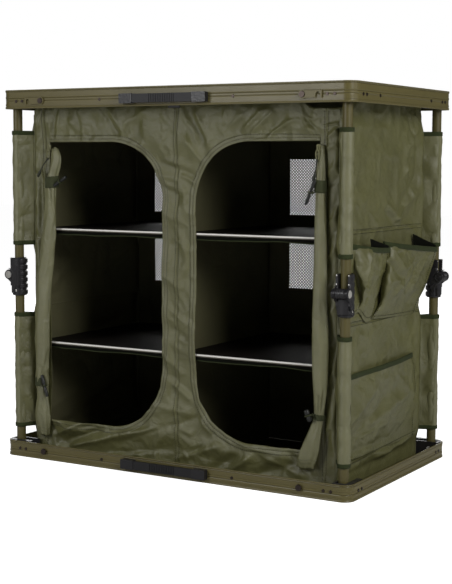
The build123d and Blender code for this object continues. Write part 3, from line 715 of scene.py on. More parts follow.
zip_metal = painted_material("zip_metal", (122, 120, 84), roughness=0.42)
board = plastic_material("shelf_board", (22, 17, 14), roughness=0.6, specular=0.2)
# The shelf trim is near white from half its height up, a painted highlight, and dark below a third of its height,
# painted shade
trim_painted_highlight = painted_material("shelf_trim", (250, 247, 240), roughness=0.3)
tree = trim_painted_highlight.node_tree
trim_highlight_and_shade = [(0.36, linear(84, 78, 66)), (0.5, linear(252, 249, 242))]
fill(tree, tree.nodes["Principled BSDF"], Base_Color=ramp(tree, height_share(tree), trim_highlight_and_shade))

# The rails have rolled beads along them: shares of the rail's height and how far the face stands out there
rail_beads = [
    (0.0, 0.6), (0.05, 1.0), (0.1, 0.55), (0.13, 0.5), (0.36, 0.5), (0.4, 0.2), (0.44, 0.95), (0.52, 0.95),
    (0.56, 0.2), (0.6, 0.5), (0.88, 0.5), (0.91, 0.25), (0.95, 1.0), (1.0, 1.0),
]
beaded_paint = painted_material("beaded_metal", (106, 98, 59), roughness=0.33, specular=0.42)
tree = beaded_paint.node_tree
beads = ramp(tree, height_share(tree), [(at, (height,) * 3) for at, height in rail_beads])
bumped(tree, tree.nodes["Principled BSDF"], (beads, 1.0, 0.0018))

# Each slot of the record with its CAD material, then the others that take their finish from it. A material that
# stands under two slots gives its pieces the first.
finishes = {
    "frame_metal": (rail_paint,),
    "case_panel": (panel_paint,),
    "leg_tube": (tube_paint,),
    "black_plastic": (black, toggle_plastic, puller_plastic, zip_metal),
    "grey_pin": (grey,),
    "steel": (rivet_steel, stud_steel),
    "shelf_board": (board,),
    "shelf_trim": (trim_painted_highlight,),
    "olive_cloth": (olive, olive_painted_highlight, olive_hem, lining, thread),
    "dark_cloth": (lining, painted_shade_cloth),
    "grey_mesh": (net_thread,),
    "green_webbing": (webbing, binding),
}
for cad_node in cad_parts.values():
    for material_slot in cad_node.material_slots:
        material_slot.material = finishes[material_slot.material.name.split(".")[0]][0]
for half in ("bottom", "top"):
    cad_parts[f"{half}_handle_grip"].material_slots[0].material = grip_black
    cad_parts[f"{half}_rail"].material_slots[0].material = beaded_paint
for side in ("left", "right"):
    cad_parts[f"{side}_latch"].material_slots[0].material = rail_paint


# Walls of the cabinet

front_step, side_step, back_step, divider_step, seam_step = 3.4, 3.6, 4.0, 8, 3
front_marks = [*seam_marks(-seam_x, 0, seam_x), -door_outer, -door_inners[-1], door_inners[1], door_outer]
front_across = ticks(-wall_x, wall_x, front_step, front_marks)
front_heights = ticks(cloth_low, cloth_high, front_step, [door_low, door_high])
doorways = {side: doorway(side) for side in (-1, 1)}
door_outlines = []
for side, path in doorways.items():
    closing = xyz(side * door_outer, np.linspace(door_high, door_low, 145), 0)[:, :2]
    door_outlines.append(np.concatenate([spaced(path, 0.8)[0], path[[0, -1]], closing]))
front_mesh = wall_sheet("front", front_across, front_heights, 0, in_doorway, np.concatenate(door_outlines))
front_cloth = make("front_cloth", *front_mesh, olive, lining)
thicken(front_cloth, lined=True)
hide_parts("front_panel")

# Cross-sections of the hems: how far from the opening's edge, and how high above the cloth
door_profile = (
    (1.0, -1.6), (-0.6, -0.8), (-0.9, 0.2), (-0.3, 1.1), (1.6, 1.5), (4.2, 1.3), (5.4, 0.8), (6.6, 1.1), (8.6, 1.2),
    (10.8, 1.1), (12.0, 0.7), (13.2, 0.8), (14.0, -0.2),
)
front_hems = []
front_rows = []
for side, path in doorways.items():
    # the path runs from below up to the top, so the cloth lies on its left at the right doorway
    front_hems.append(trim("front", path, [(side * distance, lift) for distance, lift in door_profile], way=-side))
    left = sideways(path, False)
    for distance, lift in ((5.4, 0.9), (12.0, 1.1)):
        front_rows.append(sewn("front", *(path + side * left * distance).T, lift))
hem = make("door_hems", *joined(front_hems), olive_hem)
seam_z = ticks(cloth_low + 6, cloth_high - 6, seam_step)
front_rows += [sewn("front", seam + shift, seam_z) for seam in (-seam_x, 0.0, seam_x) for shift in seam_rows]
front_stitches = make("front_stitches", *joined(front_rows), thread)

back_marks = [*seam_marks(0), -window_outer, -window_inner, window_inner, window_outer]
back_across = ticks(-wall_x, wall_x, back_step, back_marks)
back_heights = ticks(cloth_low, cloth_high, back_step, [z for pair in window_levels for z in pair])
back_mesh = wall_sheet("back", back_across, back_heights, 0, in_window)
back_cloth = make("back_cloth", *back_mesh, olive, lining, finish="dark_cloth")
thicken(back_cloth, lined=True)
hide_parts("back_panel")

window_profile = ((0.8, -1.6), (1.0, -0.6), (0.6, 0.7), (-1, 1.1), (-7, 1.0), (-8.4, 0.6), (-8.8, -0.2))
window_frames = []
back_rows = []
net = []
# The net's strands cross each other just behind the cloth
strand_pitch, strand_width, net_depth = 4.6, 2.2, 1.2
shift = strand_width / 2 / 2**0.5
for side in (-1, 1):
    for low, high in window_levels:
        near, far = sorted((side * window_inner, side * window_outer))
        corners = np.array([(near, low), (far, low), (far, high), (near, high)])
        path = []
        for start, end in zip(corners, np.roll(corners, -1, 0)):
            path += [start + (end - start) * t for t in np.linspace(0, 1, 30)[:-1]]
        path = np.array(path)
        window_frames.append(trim("back", path, window_profile, True, -1))
        back_rows.append(sewn("back", *(path - sideways(path, True) * 6).T, 1.25))
        rise = high - low
        for lean in (-1, 1):
            for start in np.arange(near - rise, far + rise, strand_pitch * 2**0.5):
                # a strand runs from the lower edge at start to the upper edge, cut off at the sides
                foot = start + (0 if lean > 0 else rise)
                run = start + lean * rise + (0 if lean > 0 else rise) - foot
                first, last = sorted(((near - foot) / run, (far - foot) / run))
                first, last = max(0.0, first), min(last, 1.0)
                if last - first < 0.01:
                    continue
                part = np.linspace(first, last, 5)
                a, z, depth = foot + part * run, low + part * rise, net_depth + 0.25 * lean
                net.append(grid([on_wall("back", a - way * lean * shift, z + way * shift, -depth) for way in (1, -1)]))
window_frame = make("window_bindings", *joined(window_frames), binding)
window_net = make("window_net", *joined(net), net_thread)
thicken(window_net, 0.25)
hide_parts("back_mesh")
back_rows += [sewn("back", shift, seam_z) for shift in seam_rows]
back_stitches = make("back_stitches", *joined(back_rows), thread)

side_cloths = {}
side_y = ticks(-wall_y, wall_y, side_step)
side_z = ticks(cloth_low, cloth_high, side_step, seam_marks(*side_seams))
row_y = ticks(-wall_y + 5, wall_y - 5, seam_step)
for side in ("left", "right"):
    cloth = side_cloths[side] = make(f"{side}_side_cloth", *wall_sheet(side, side_y, side_z), olive, lining)
    thicken(cloth, lined=True)
    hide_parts(f"{side}_side_panel")
    rows = [sewn(side, row_y, seam + shift) for seam in side_seams for shift in seam_rows]
    make(f"{side}_side_stitches", *joined(rows), thread)

# the divider ends a little inside the front and the back
front_gap, back_gap = 2.2, 3.0
divider_y = ticks(-wall_y + front_gap, wall_y - back_gap, divider_step)
a, z = np.meshgrid(divider_y, ticks(cloth_low, cloth_high, divider_step))
sway = 2.0 * noise(a, z, 90, 51) * smoothstep(np.abs(a), -wall_y, -wall_y + 30) * np.clip(inward_room(z) / 5, 0, 1)
# its edges follow the cloths that it is sewn to
to_front, to_back = (surface(0 * z, z) - 0.6 for surface in (front_out, back_out))
near_front = smoothstep(-a, wall_y - 60, wall_y - front_gap)
near_back = smoothstep(a, wall_y - 60, wall_y - back_gap)
a = a - (to_front + front_gap) * near_front + (to_back + back_gap) * near_back
divider = make("divider_cloth", *grid(xyz(0.4 * sway, a, z)), lining)
thicken(divider)
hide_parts("centre_divider")

# A welt covers each upright corner seam of the cabinet
welts = []
z = ticks(cloth_low, cloth_high - 46, 8)
for side_x in (-1, 1):
    for side_y in (-1, 1):
        wobble_x = 0.5 * noise(z, 0 * z, 40, 60 + side_x) + side_x * (wall_x + 0.2)
        wobble_y = 0.5 * noise(z, 0 * z, 40, 66 + side_y) + side_y * (wall_y + 0.2)
        welts.append(tube(xyz(wobble_x, wobble_y, z), 1.1))
        # the side wall's edge stands out beside the sleeves, and this strip closes the step
        out = wall_x + drawn_out(side_y * wall_y, z) + 0.6
        steps = ((wall_x - 1.0, 0.2), (0.5 * (wall_x + out), 0.5), (out, 0.2), (out - 0.4, -1.2))
        welts.append(grid([xyz(side_x * reach, side_y * (wall_y + lift), z) for reach, lift in steps]))
corner_welts = make("corner_welts", *joined(welts), olive_hem)


# Sleeves on the legs and the wings that hold them to the cabinet's corners

# The sleeves' bindings: how far from the sleeve's end, and the radius there
cuff = ((-0.6, 10.4), (-0.8, 11.4), (-0.3, 12.2), (2, 12.5), (6.4, 12.4), (7.6, 12.1), (8.0, 11.2))
# The wings' bindings: how far they stand off the wing, and how far from its edge
wing_edge = (
    (0.7, 8), (1.2, 7.4), (1.3, 1), (0.8, -0.6), (0, -0.9), (-0.8, -0.6), (-1.0, 1), (-0.9, 7.4), (-0.6, 8)
)
wing_radius = 12.3
for leg, (side_x, side_y) in legs.items():
    toward = np.arctan2(-side_y * (leg_y - wall_y), -side_x * (leg_x - wall_x))
    middle = np.array([side_x * leg_x, side_y * leg_y])
    for part, (low, high) in sleeve_levels.items():
        seed = 70 + 3 * list(legs).index(leg) + (part == "upper")
        body = f"{leg}_{part}_leg"
        z = ticks(low, high, 3.0)
        turn = toward + np.linspace(0, 2 * pi, 41)
        around, level = np.meshgrid(turn, z)
        length = around * sleeve_radius
        ends = between(level, low, high, 14)
        swell = 0.5 * creased(length, 0.7 * level, 26, seed) + 0.45 * noise(length, level, 18, seed + 1)
        swell = 0.35 + ends * swell + ends * 0.5 * creased(length + 0.6 * level, level, 30, seed + 2)
        radius = 11.3 + np.clip(swell, -0.9, 1.1)
        mesh = grid(xyz(middle[0] + radius * np.cos(around), middle[1] + radius * np.sin(around), level))
        # the sleeve takes the lighter copy of the cloth, a painted highlight
        sleeve = make(f"{leg}_{part}_sleeve_cloth", *mesh, olive_painted_highlight, body=body)
        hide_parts(f"{leg}_{part}_sleeve")
        bands = []
        ring = turn[:-1]
        bend = 0.25 * np.sin(3 * ring + seed)
        for edge, way in ((low, 1), (high, -1)):
            rows = []
            for lift, radius in cuff:
                radius = radius + bend
                x, y = middle[0] + radius * np.cos(ring), middle[1] + radius * np.sin(ring)
                rows.append(xyz(x, y, edge + way * lift))
            bands.append(grid(rows, True, way))
        band = make(f"{leg}_{part}_sleeve_bindings", *joined(bands), binding, body=body)
        height = (high - low) / 1000

        # the wing goes round the cabinet's corner and lies against both sides of the sleeve
        corner = np.array([side_x * (wall_x + 0.6), side_y * (wall_y + 0.6)])
        facing = np.arctan2(*(corner - middle)[::-1])
        touch = np.arccos(sleeve_radius / np.linalg.norm(corner - middle))
        way = -side_x * side_y
        near, far = [], []
        for number, a in enumerate(np.linspace(touch + radians(34), touch, 7)):
            # the wing's free ends lie a little closer to the sleeve
            reach = wing_radius - 0.5 * (number < 2)
            for points, turned in ((near, facing + way * a), (far, facing - way * a)):
                points.append(middle + reach * np.array((np.cos(turned), np.sin(turned))))
        run_in = [near[-1] + (corner - near[-1]) * t for t in np.linspace(0, 1, 10)[1:-1]]
        run_out = [corner + (far[-1] - corner) * t for t in np.linspace(0, 1, 10)[1:-1]]
        line = np.array(near + run_in + [corner] + run_out + far[::-1])
        travelled = np.concatenate([[0], np.cumsum(lengths(line))])
        flat_width = travelled[-1]
        normal = sideways(line, False) * -way
        free = np.clip(np.minimum(travelled / 12, (flat_width - travelled) / 12), 0, 1)
        free = free * smoothstep(np.abs(travelled - flat_width / 2), 0, 9)
        along, level = np.meshgrid(travelled, z)
        belly = 1.5 * noise(along, 0.6 * level, 30, seed + 3)
        belly = belly + 1.6 * creased(along + 0.5 * level, 0.8 * level, 44, seed + 4)
        belly = belly + 1.2 * creased(along - 0.7 * level, level, 36, seed + 5)
        belly = belly + 4.2 * sweeps(along, level, 1.2 if part == "upper" else -1.2, 30, seed + 6)
        belly = 0.8 + belly * (0.35 + 0.65 * between(level, low, high, 30))
        flat = line[None] + normal[None] * (belly * free[None])[..., None]
        mesh = grid(np.concatenate([flat, level[..., None]], -1), way=-way)
        wing = make(f"{leg}_{part}_wing", *mesh, olive)
        if (leg, part) == ("front_left", "lower"):
            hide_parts("corner_wings")
        thicken(wing, 0.7)
        wing.modifiers["thickness"].offset = 0
        edges = []
        for row, rise in ((0, 1), (-1, -1)):
            edges.append(grid([xyz(*(flat[row] + normal * away).T, z[row] + rise * lift) for away, lift in wing_edge]))
        edge_band = make(f"{leg}_{part}_wing_bindings", *joined(edges), binding)


# Rolled-up doors

# Each roll from its top to its foot, read from the photograph: height, middle, half width and half depth
roll_shapes = {
    "left": [
        (639, -291.9, 7.0, 4), (634, -287.9, 12.0, 6), (624, -285.8, 14.3, 7), (608, -285.7, 14.5, 8),
        (593, -290.6, 14.1, 8), (577, -297.2, 14.1, 8), (563, -299.5, 14.2, 9), (522, -301.0, 14.1, 9),
        (476, -302.4, 17.5, 10), (433, -307.5, 20.5, 10), (391, -313.9, 21.5, 10), (349, -318.8, 20.6, 11),
        (307, -320.8, 20.1, 12), (244, -322.4, 20.2, 12), (202, -322.9, 19.0, 12), (160, -325.1, 15.4, 11),
        (134, -326.4, 14.0, 9), (107, -324.9, 18.4, 10), (81, -323.7, 21.3, 10), (64, -323.5, 18.6, 9),
        (47, -324.0, 13.2, 7),
    ],
    "right": [
        (643, 315.2, 6.4, 4), (636, 316.5, 8.0, 6), (619, 316.9, 9.2, 7), (592, 317.1, 10.2, 8),
        (570, 316.8, 10.2, 8), (547, 317.3, 10.4, 9), (500, 317.7, 12.2, 9), (443, 318.8, 14.2, 10),
        (384, 317.9, 15.3, 10), (351, 318.0, 16.2, 10), (305, 319.9, 18.0, 11), (258, 320.5, 18.2, 11),
        (216, 320.6, 17.0, 11), (189, 320.4, 14.6, 10), (166, 319.0, 12.0, 8), (148, 318.2, 10.4, 7),
        (136, 315.4, 11.3, 7), (105, 305.4, 17.2, 8), (75, 294.4, 22.6, 8), (59, 290.4, 21.8, 7),
        (49, 288.0, 18.2, 5),
    ],
}
# Deep folds in the rolls: height and angle at the top and at the foot, depth as a share, and width in degrees
roll_slits = {
    "left": [
        (572, -88, 518, -40, 0.34, 8), (190, -66, 122, -20, 0.5, 15), (130, -62, 92, -50, 0.2, 9),
        (455, -40, 330, -66, 0.07, 12),
    ],
    "right": [
        (196, -84, 152, -92, 0.2, 9), (140, -70, 96, -86, 0.22, 10), (205, -30, 150, -50, 0.16, 10),
        (420, -60, 240, -48, 0.05, 14),
    ],
}
# Straps: height, half height, and the angles that they reach over
strap_bands = {
    "left": [(573.0, 11.5, -270, 90), (158.0, 9.0, -262, -76)],
    "right": [(572.0, 11.5, -270, 90), (146.0, 5.5, -270, 90)],
}
# Toggles: one end, the other end and the radius
toggle_rods = {
    "left": [((-289, -206, 565), (-253.4, -211, 584), 3.4), ((-321, -211, 172), (-304, -215, 128), 3.5)],
    "right": [((312, -212, 583), (295.5, -217, 538), 3.3), ((307, -213, 138), (300, -217, 160), 5.0)],
}


def eased(z, table, column):
    """A column of a roll's table at some heights, with its corners rounded."""
    rows = np.array(table, float)[::-1]
    shifts = np.linspace(-9.0, 9.0, 7)
    return np.mean([np.interp(z + shift, rows[:, 0], rows[:, column]) for shift in shifts], axis=0)


def grown(line, rows, upright=1):
    """A band round a line. Its rows stand off from the line, away from its middle, and rise above it."""
    away = line[:, :2] - line[:, :2].mean(0)
    away = away / np.maximum(1e-6, np.linalg.norm(away, axis=1))[:, None]
    return grid([xyz(*(line[:, :2] + off * away).T, line[:, 2] + upright * rise) for off, rise in rows])


# The straps' rounded cross-section: how far it stands off the roll, and its height as a share of half the band
strap_profile = ((0.4, -1), (1.5, -0.96), (1.8, -0.5), (1.4, 0), (1.8, 0.5), (1.5, 0.96), (0.4, 1), (-0.4, 0))
roll_turns, roll_radius = 3.3, 15
cloth_face = -wall_y - cloth_gap
for name, side in (("left", -1), ("right", 1)):
    table = roll_shapes[name]
    roll_heights = ticks(table[-1][0], table[0][0], 3.2)
    share = np.linspace(0, 1, 190)
    s, z = np.meshgrid(share, roll_heights)
    half_width = eased(z, table, 2)
    half_depth = eased(z, table, 3)
    turn = 2 * pi * roll_turns * s
    size = 0.2 + 0.8 * s
    length = turn * roll_radius * size
    pinch = sum(np.exp(-(((z - band[0]) / 26) ** 2)) for band in strap_bands[name])
    free = smoothstep(-z, -125, -60)
    ripple = (0.06 + 0.06 * pinch + 0.05 * free) * creased(length + 0.35 * z, 0.35 * z, 24, 90 + side)
    ripple = ripple + (0.03 + 0.08 * pinch + 0.05 * free) * np.cos(turn * 6 + 2.2 * noise(z, 0 * z, 40, 93))
    angle = pi / 2 - 2 * pi * roll_turns * side + side * turn
    for high, high_angle, low, low_angle, depth, width in roll_slits[name]:
        at = radians(high_angle) + (high - z) / (high - low) * radians(low_angle - high_angle)
        off = (angle - at + pi) % (2 * pi) - pi
        inside = smoothstep(-z, -high, -high + 14) * smoothstep(z, low, low + 18)
        lips = np.exp(-(((np.abs(off) - radians(2.4 * width)) / radians(width)) ** 2))
        ripple = ripple - depth * inside * np.exp(-((off / radians(width)) ** 2)) + 0.35 * depth * inside * lips
    size = size * (1 + ripple * smoothstep(s, 0.3, 0.9))
    x = eased(z, table, 1) + size * half_width * np.cos(angle)
    y = cloth_face - half_depth + size * half_depth * np.sin(angle)
    # the two ends are ragged, and the inner turns stand out of them
    down = (roll_heights[-1] - z) / (roll_heights[-1] - roll_heights[0])
    z_bent = z + (1 - down) * 3 * noise(length, 0 * z, 22, 96 + side)
    z_bent = z_bent - down * 3 * np.abs(noise(length, 0 * z, 18, 98 + side))
    z_bent = z_bent + (1 - s) * (1 - down) * 3 - (1 - s) * down * 6
    points = xyz(x, np.minimum(y, -wall_y - 1.0), z_bent)
    # the roll takes the lighter copy of the cloth, a painted highlight
    roll = make(f"{name}_door_cloth", *grid(points, way=side), olive_painted_highlight, lining)
    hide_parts(f"{name}_door_roll")
    # the door's own hem goes round the roll at its two ends, with a seam a little above the foot
    ends = []
    for row, upright in ((0, 1), (-1, -1)):
        brim = ((0.9, 5.0), (1.1, 0.6), (0.5, -0.5), (-0.5, -0.5), (-1.1, 0.6), (-0.9, 5.0))
        ends.append(grown(points[row], brim, upright))
    outer = share > 1 - 1.05 / roll_turns
    for row, width in ((3, 0.7), (5, 0.8)):
        welt = ((0, -width), (0.55, -width * 0.6), (0.55, width * 0.6), (0, width))
        ends.append(grown(points[row][outer], welt))
    roll_hem = make(f"{name}_door_hem", *joined(ends), olive_hem)
    flat_width = float(lengths(points[len(points) // 2]).sum()) / 1000

    straps = []
    for height, half, first, last in strap_bands[name]:
        whole = last - first == 360
        around = np.radians(np.linspace(first, last, 73))[: 72 if whole else 73]
        centre_x, width, depth = (float(eased(np.array(height), table, column)) for column in (1, 2, 3))
        rows = []
        for off, rise in strap_profile:
            # the lower band of the right roll is gathered to a knot
            knot = 1.3 * np.sin(11 * around + 2.2 * rise) if half < 7 else 0
            wave = 0.5 * np.sin(5 * around + height) + knot
            x = centre_x + (width + off + wave) * np.cos(around)
            y = np.minimum(cloth_face - depth + (depth + off + wave) * np.sin(around), -wall_y - 0.9)
            rows.append(xyz(x, y, height + half * rise + 1.2 * np.sin(around - 1.0 * side)))
        faces = quads(len(rows), len(around), whole).tolist()
        end = (len(rows) - 1) * len(around)
        for i in range(len(around) - (not whole)):
            j = (i + 1) % len(around)
            faces.append((end + i, end + j, j, i))
        straps.append((np.stack(rows), faces))
    locks = []
    for one, other, radius in toggle_rods[name]:
        one, other = np.array(one, float), np.array(other, float)
        long = np.linalg.norm(other - one)
        ahead = (other - one) / long
        profile = [(0.2, 0), (0.75 * radius, 0.4), (radius, 2.2), (radius, 0.36 * long)]
        profile += [(0.8 * radius, 0.42 * long), (0.72 * radius, 0.5 * long)]
        profile += [(r, long - h) for r, h in profile[::-1][1:]]
        locks.append(lathe(profile, one, ahead))
        middle = (one + other) / 2
        # a loop of webbing holds the toggle round its waist and runs back to the strap
        across, outward = np.cross(ahead, (0, 1, 0)), np.array((0, 1, 0.0))
        turns = np.linspace(0, 2 * pi, 21)[:-1]
        loop = [middle + (radius + 0.9) * (cos(a) * across + sin(a) * outward) for a in turns]
        straps.append(tube(loop, 1.5, closed=True))
        back = np.array([float(eased(np.array(middle[2]), table, 1)), -wall_y - 9, middle[2]])
        half_way = 0.5 * (middle + back) + (0, 2, 0)
        tail = [middle + (0, radius + 0.8, 0), middle + (0, radius + 2.4, 0), half_way, back]
        straps.append(tube(tail, (1.4, 1.7, 1.7, 1.4)))
    strap = make(f"{name}_roll_straps", *joined(straps), webbing)
    crisp(make(f"{name}_toggles", *joined(locks), toggle_plastic))
    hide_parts("roll_straps")

    # zip slider at the doorway's top outer corner, with its tab and a moulded puller
    slider_x, slider_z, stands_off = (-309.0, 641.5, 2.6) if side < 0 else (313.7, 640.5, 9.5)
    cloth_out = float(front_out(np.array([slider_x - 6, slider_x, slider_x + 6]), slider_z).max())
    slider_y = -wall_y - cloth_out - stands_off
    body_rows = []
    for depth, size in ((0, 0.86), (0.5, 1.0), (2.6, 1.0), (3.4, 0.8)):
        for a in np.linspace(0, 2 * pi, 33)[:-1]:
            half = 3.4 + 1.7 * smoothstep(sin(a), -0.3, 0.9)
            x = slider_x + size * half * np.sign(cos(a)) * abs(cos(a)) ** 0.6
            z = slider_z + size * 7.6 * np.sign(sin(a)) * abs(sin(a)) ** 0.7
            body_rows.append((x, slider_y - depth, z))
    parts = [(body_rows, quads(4, 32, True).tolist() + [tuple(range(96, 128))])]
    bridge = np.linspace(0.1, pi - 0.1, 11)
    parts.append(tube([(slider_x, slider_y - 3.0 - 2.6 * sin(a), slider_z + 5.2 * cos(a)) for a in bridge], 1.2))
    tab = [
        (slider_x + 3.4 * sin(a), slider_y - 5.4 - 0.6 * cos(a), slider_z - 11.5 + 9.5 * cos(a))
        for a in np.linspace(0, 2 * pi, 29)[:-1]
    ]
    parts.append(tube(tab, 1.15, closed=True))
    parts.append(tube([(slider_x + reach, slider_y - 5.4, slider_z - 10.5) for reach in (-3, 3)], 1.0))
    slider = crisp(make(f"{name}_zip_slider", *joined(parts), zip_metal), 50)
    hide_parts("door_fittings")
    reach = (-18.5, -38.5) if side < 0 else (-7.5, -40.0)
    start = np.array([slider_x, slider_y - 5.6, slider_z - 19.5])
    front_y = -wall_y - 19.5
    line = []
    for t in np.linspace(0, 1, 15):
        line.append(start + (reach[0] * t + 1.6 * sin(pi * t), (front_y - start[1]) * min(1, 2.2 * t), reach[1] * t))
    sizes = [1.6, 2.0, 1.3, 1.0, 1.0, 1.0, 1.0, 1.0, 1.1, 1.6, 2.5, 2.9, 3.0, 2.8, 1.8]
    make(f"{name}_zip_puller", *tube(line, sizes, 10), puller_plastic)


# Side pockets

# Each row goes from the pocket's foot up: its share of the height, then four points of x, y and z, from the photograph
pocket_shapes = {
    "front": [
        (0.0, (352.8, -118, 330), (353, -98, 322), (353, -79, 307), (353, -50, 314)),
        (0.15, (355, -97, 360), (365, -107, 358), (362, -77, 351), (356, -41, 346)),
        (0.35, (358, -115, 389), (373, -127, 384), (368, -79, 378), (359, -27, 370)),
        (0.55, (362, -144, 422), (378, -141, 412), (374, -85, 404), (364, -12, 402)),
        (0.85, (366, -156, 451), (378, -136, 448), (378, -83, 444), (372, -10, 439)),
        (1.0, (366, -156, 466), (374, -124, 461), (378, -79, 456), (375, -14, 453)),
    ],
    "rear": [
        (0.0, (353, -50, 312), (353, -1, 309), (353, 80, 306), (352.8, 168, 306)),
        (0.2, (358, -16, 346), (367, 1, 343), (362, 76, 339), (355, 178, 330)),
        (0.4, (362, -26, 375), (380, -12, 371), (373, 81, 367), (368, 184, 359)),
        (0.6, (364, -16, 406), (385, -7, 403), (380, 86, 400), (379, 187, 393)),
        (0.85, (368, -5, 444), (384, 11, 442), (384, 93, 434), (387, 194, 428)),
        (1.0, (366, -27, 466), (379, 13, 460), (386, 83, 453), (388, 196, 443)),
    ],
    "lower": [
        (0.0, (352.6, -184, 44), (352.8, -60, 45), (352.8, 60, 46), (352.6, 178, 48)),
        (0.35, (354, -186, 112), (359, -62, 112), (360, 60, 113), (355, 182, 114)),
        (0.7, (355, -186, 176), (361, -62, 178), (362, 60, 180), (355, 181, 182)),
        (1.0, (355, -186, 221), (359, -74, 223), (362, 38, 225), (356, 148, 228)),
    ],
}
pocket_folds = {
    "front": [
        (-121, 449, -132, 398, 5, 3.0), (-94, 436, -108, 386, 6, -2.6), (-52, 437, -72, 393, 7, 2.2),
        (-155, 451, -148, 406, 5, -2.6), (-132, 398, -126, 361, 4, 2.0), (-80, 380, -100, 350, 4, -2.0),
    ],
    "rear": [
        (-32, 437, 25, 393, 5, -4.6), (3, 436, 49, 391, 6, 2.8), (40, 390, 6, 354, 6, 3.0),
        (23, 386, -34, 387, 5, 1.6), (81, 413, 41, 378, 7, -2.2), (151, 425, 115, 368, 8, 2.0),
        (123, 419, 69, 354, 8, -2.0), (-56, 392, -50, 353, 5, 2.2), (38, 440, 3, 439, 4, -1.4),
        (85, 423, 58, 412, 4, 1.8),
    ],
    "lower": [
        (-170, 118, -30, 186, 9, 2.6), (-150, 92, 60, 164, 10, -2.4), (-100, 106, 140, 152, 9, 1.8),
        (-150, 72, 150, 66, 7, -1.8), (-150, 58, 60, 50, 6, 2.0), (60, 196, 160, 130, 9, 1.6),
    ],
}
# The binding round a pocket's mouth: how far it stands off the cloth, and how far below or above the edge
mouth_profile = ((-1.6, -9), (-2.0, -8.4), (-2.0, 0.2), (-0.8, 1.0), (0.6, 1.0), (1.3, 0.2), (1.7, -8.4), (0.8, -9))
share, rise = np.meshgrid(np.linspace(0, 1, 80), np.linspace(0, 1, 64))
# through the four points of each row runs one smooth curve
weights = [
    -4.5 * (share - 1 / 3) * (share - 2 / 3) * (share - 1),
    13.5 * share * (share - 2 / 3) * (share - 1),
    -13.5 * share * (share - 1 / 3) * (share - 1),
    4.5 * share * (share - 1 / 3) * (share - 2 / 3),
]
edge = np.clip(np.minimum(share, 1 - share) / 0.1, 0, 1)
fullness = np.sqrt(1 - (1 - edge) ** 2) * smoothstep(rise, 0.0, 0.12) * (1 - 0.7 * smoothstep(rise, 0.85, 1))
# the row and the column along which a pocket's flat size is measured
pocket_row = 30
for name, levels in pocket_shapes.items():
    stops = [level[0] for level in levels]

    def eased_share(column, axis):
        """A coordinate of one of the four points at each height, with its corners rounded."""
        values = [level[1 + column][axis] for level in levels]
        shifts = (-0.06, -0.03, 0, 0.03, 0.06)
        return np.mean([np.interp(np.clip(rise + shift, 0, 1), stops, values) for shift in shifts], axis=0)

    x, y, z = (sum(weights[column] * eased_share(column, axis) for column in range(4)) for axis in range(3))
    relief = 0.7 * folds(y, z, pocket_folds[name])
    relief = relief + (3.2 if name == "lower" else 1.6) * sweeps(y, z, 0.8, 34, 118)
    relief = relief + 1.5 * creased(y, 0.8 * z, 34, 110) + 0.7 * creased(y + z, z, 17, 111)
    x = np.maximum(x + relief * fullness, wall_x + 2.0)
    if name == "front":
        # a gusset runs from the pocket's front edge back to the wall behind the leg
        back = np.linspace(0, 1, 13)[:-1][None]
        first_x, first_y, first_z = x[:, :1], y[:, :1], z[:, :1]
        wave = 2.2 * np.sin(2 * pi * back) * noise(first_z, 0 * first_z, 40, 115)
        x = np.concatenate([353 + (first_x - 353) * back**0.8 + wave, x], 1)
        y = np.concatenate([-180 + (first_y + 180) * back, y], 1)
        z = np.concatenate([first_z - 14 * (1 - back) * (1 - rise[:, :1]), z], 1)
    points = xyz(x, y, z)
    pocket = make(f"{name}_pocket", *grid(points), olive, lining)
    thicken(pocket, lined=True)
    if name == "front":
        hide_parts("side_pockets")
    top = points[-1]
    rows = []
    for away, drop in mouth_profile:
        # the outer half follows the cloth under it
        under = points[max(-1 + int(drop * 0.35), -5)] if away > 1 else top
        rows.append(xyz(under[:, 0] + away, top[:, 1], top[:, 2] + drop))
    pocket_binding = make(f"{name}_pocket_binding", *grid(rows), binding)
    seams = [stitches(line + (0.5, 0, 0), outwards["right"]) for line in (points[:, 3], points[:, -4], points[3])]
    pocket_stitches = make(f"{name}_pocket_stitches", *joined(seams), thread)
    tall = float(points[-1, pocket_row, 2] - points[0, pocket_row, 2])
    flat_size = (float(lengths(points[pocket_row]).sum()) / 1000, tall * 1.08 / 1000)


# Above the bindings one looks into the pockets: behind each binding a near-black sheet, drawn up at one corner, is
# painted shade of the pocket's inside
pocket_shades = {
    "front_pocket_back": ((0.072, 0.0165), [(373, -98, 450), (376, -26, 445), (372, -98, 473), (378, -26, 456)]),
    "rear_pocket_back": ((0.055, 0.018), [(358, 144, 444), (386, 189, 437), (356, 144, 471), (388, 190, 446)]),
}
share, rise = np.meshgrid(np.linspace(0, 1, 24), np.linspace(0, 1, 12))
for name, (flat_size, corners) in pocket_shades.items():
    foot_start, foot_end, brim_start, brim_end = np.array(corners, float)
    foot = foot_start + (foot_end - foot_start) * share[..., None]
    brim = brim_start + (brim_end - brim_start) * share[..., None]
    patch = foot + (brim - foot) * rise[..., None]
    patch[..., 0] += 0.6 * creased(share * 80, rise * 20, 18, 117)
    pocket_shade = make(name, *grid(patch), painted_shade_cloth)
    thicken(pocket_shade, 0.6)


# Shelves: a strip hangs under each trim, a near-black sheet of painted shade with a rolled green hem at its lower edge

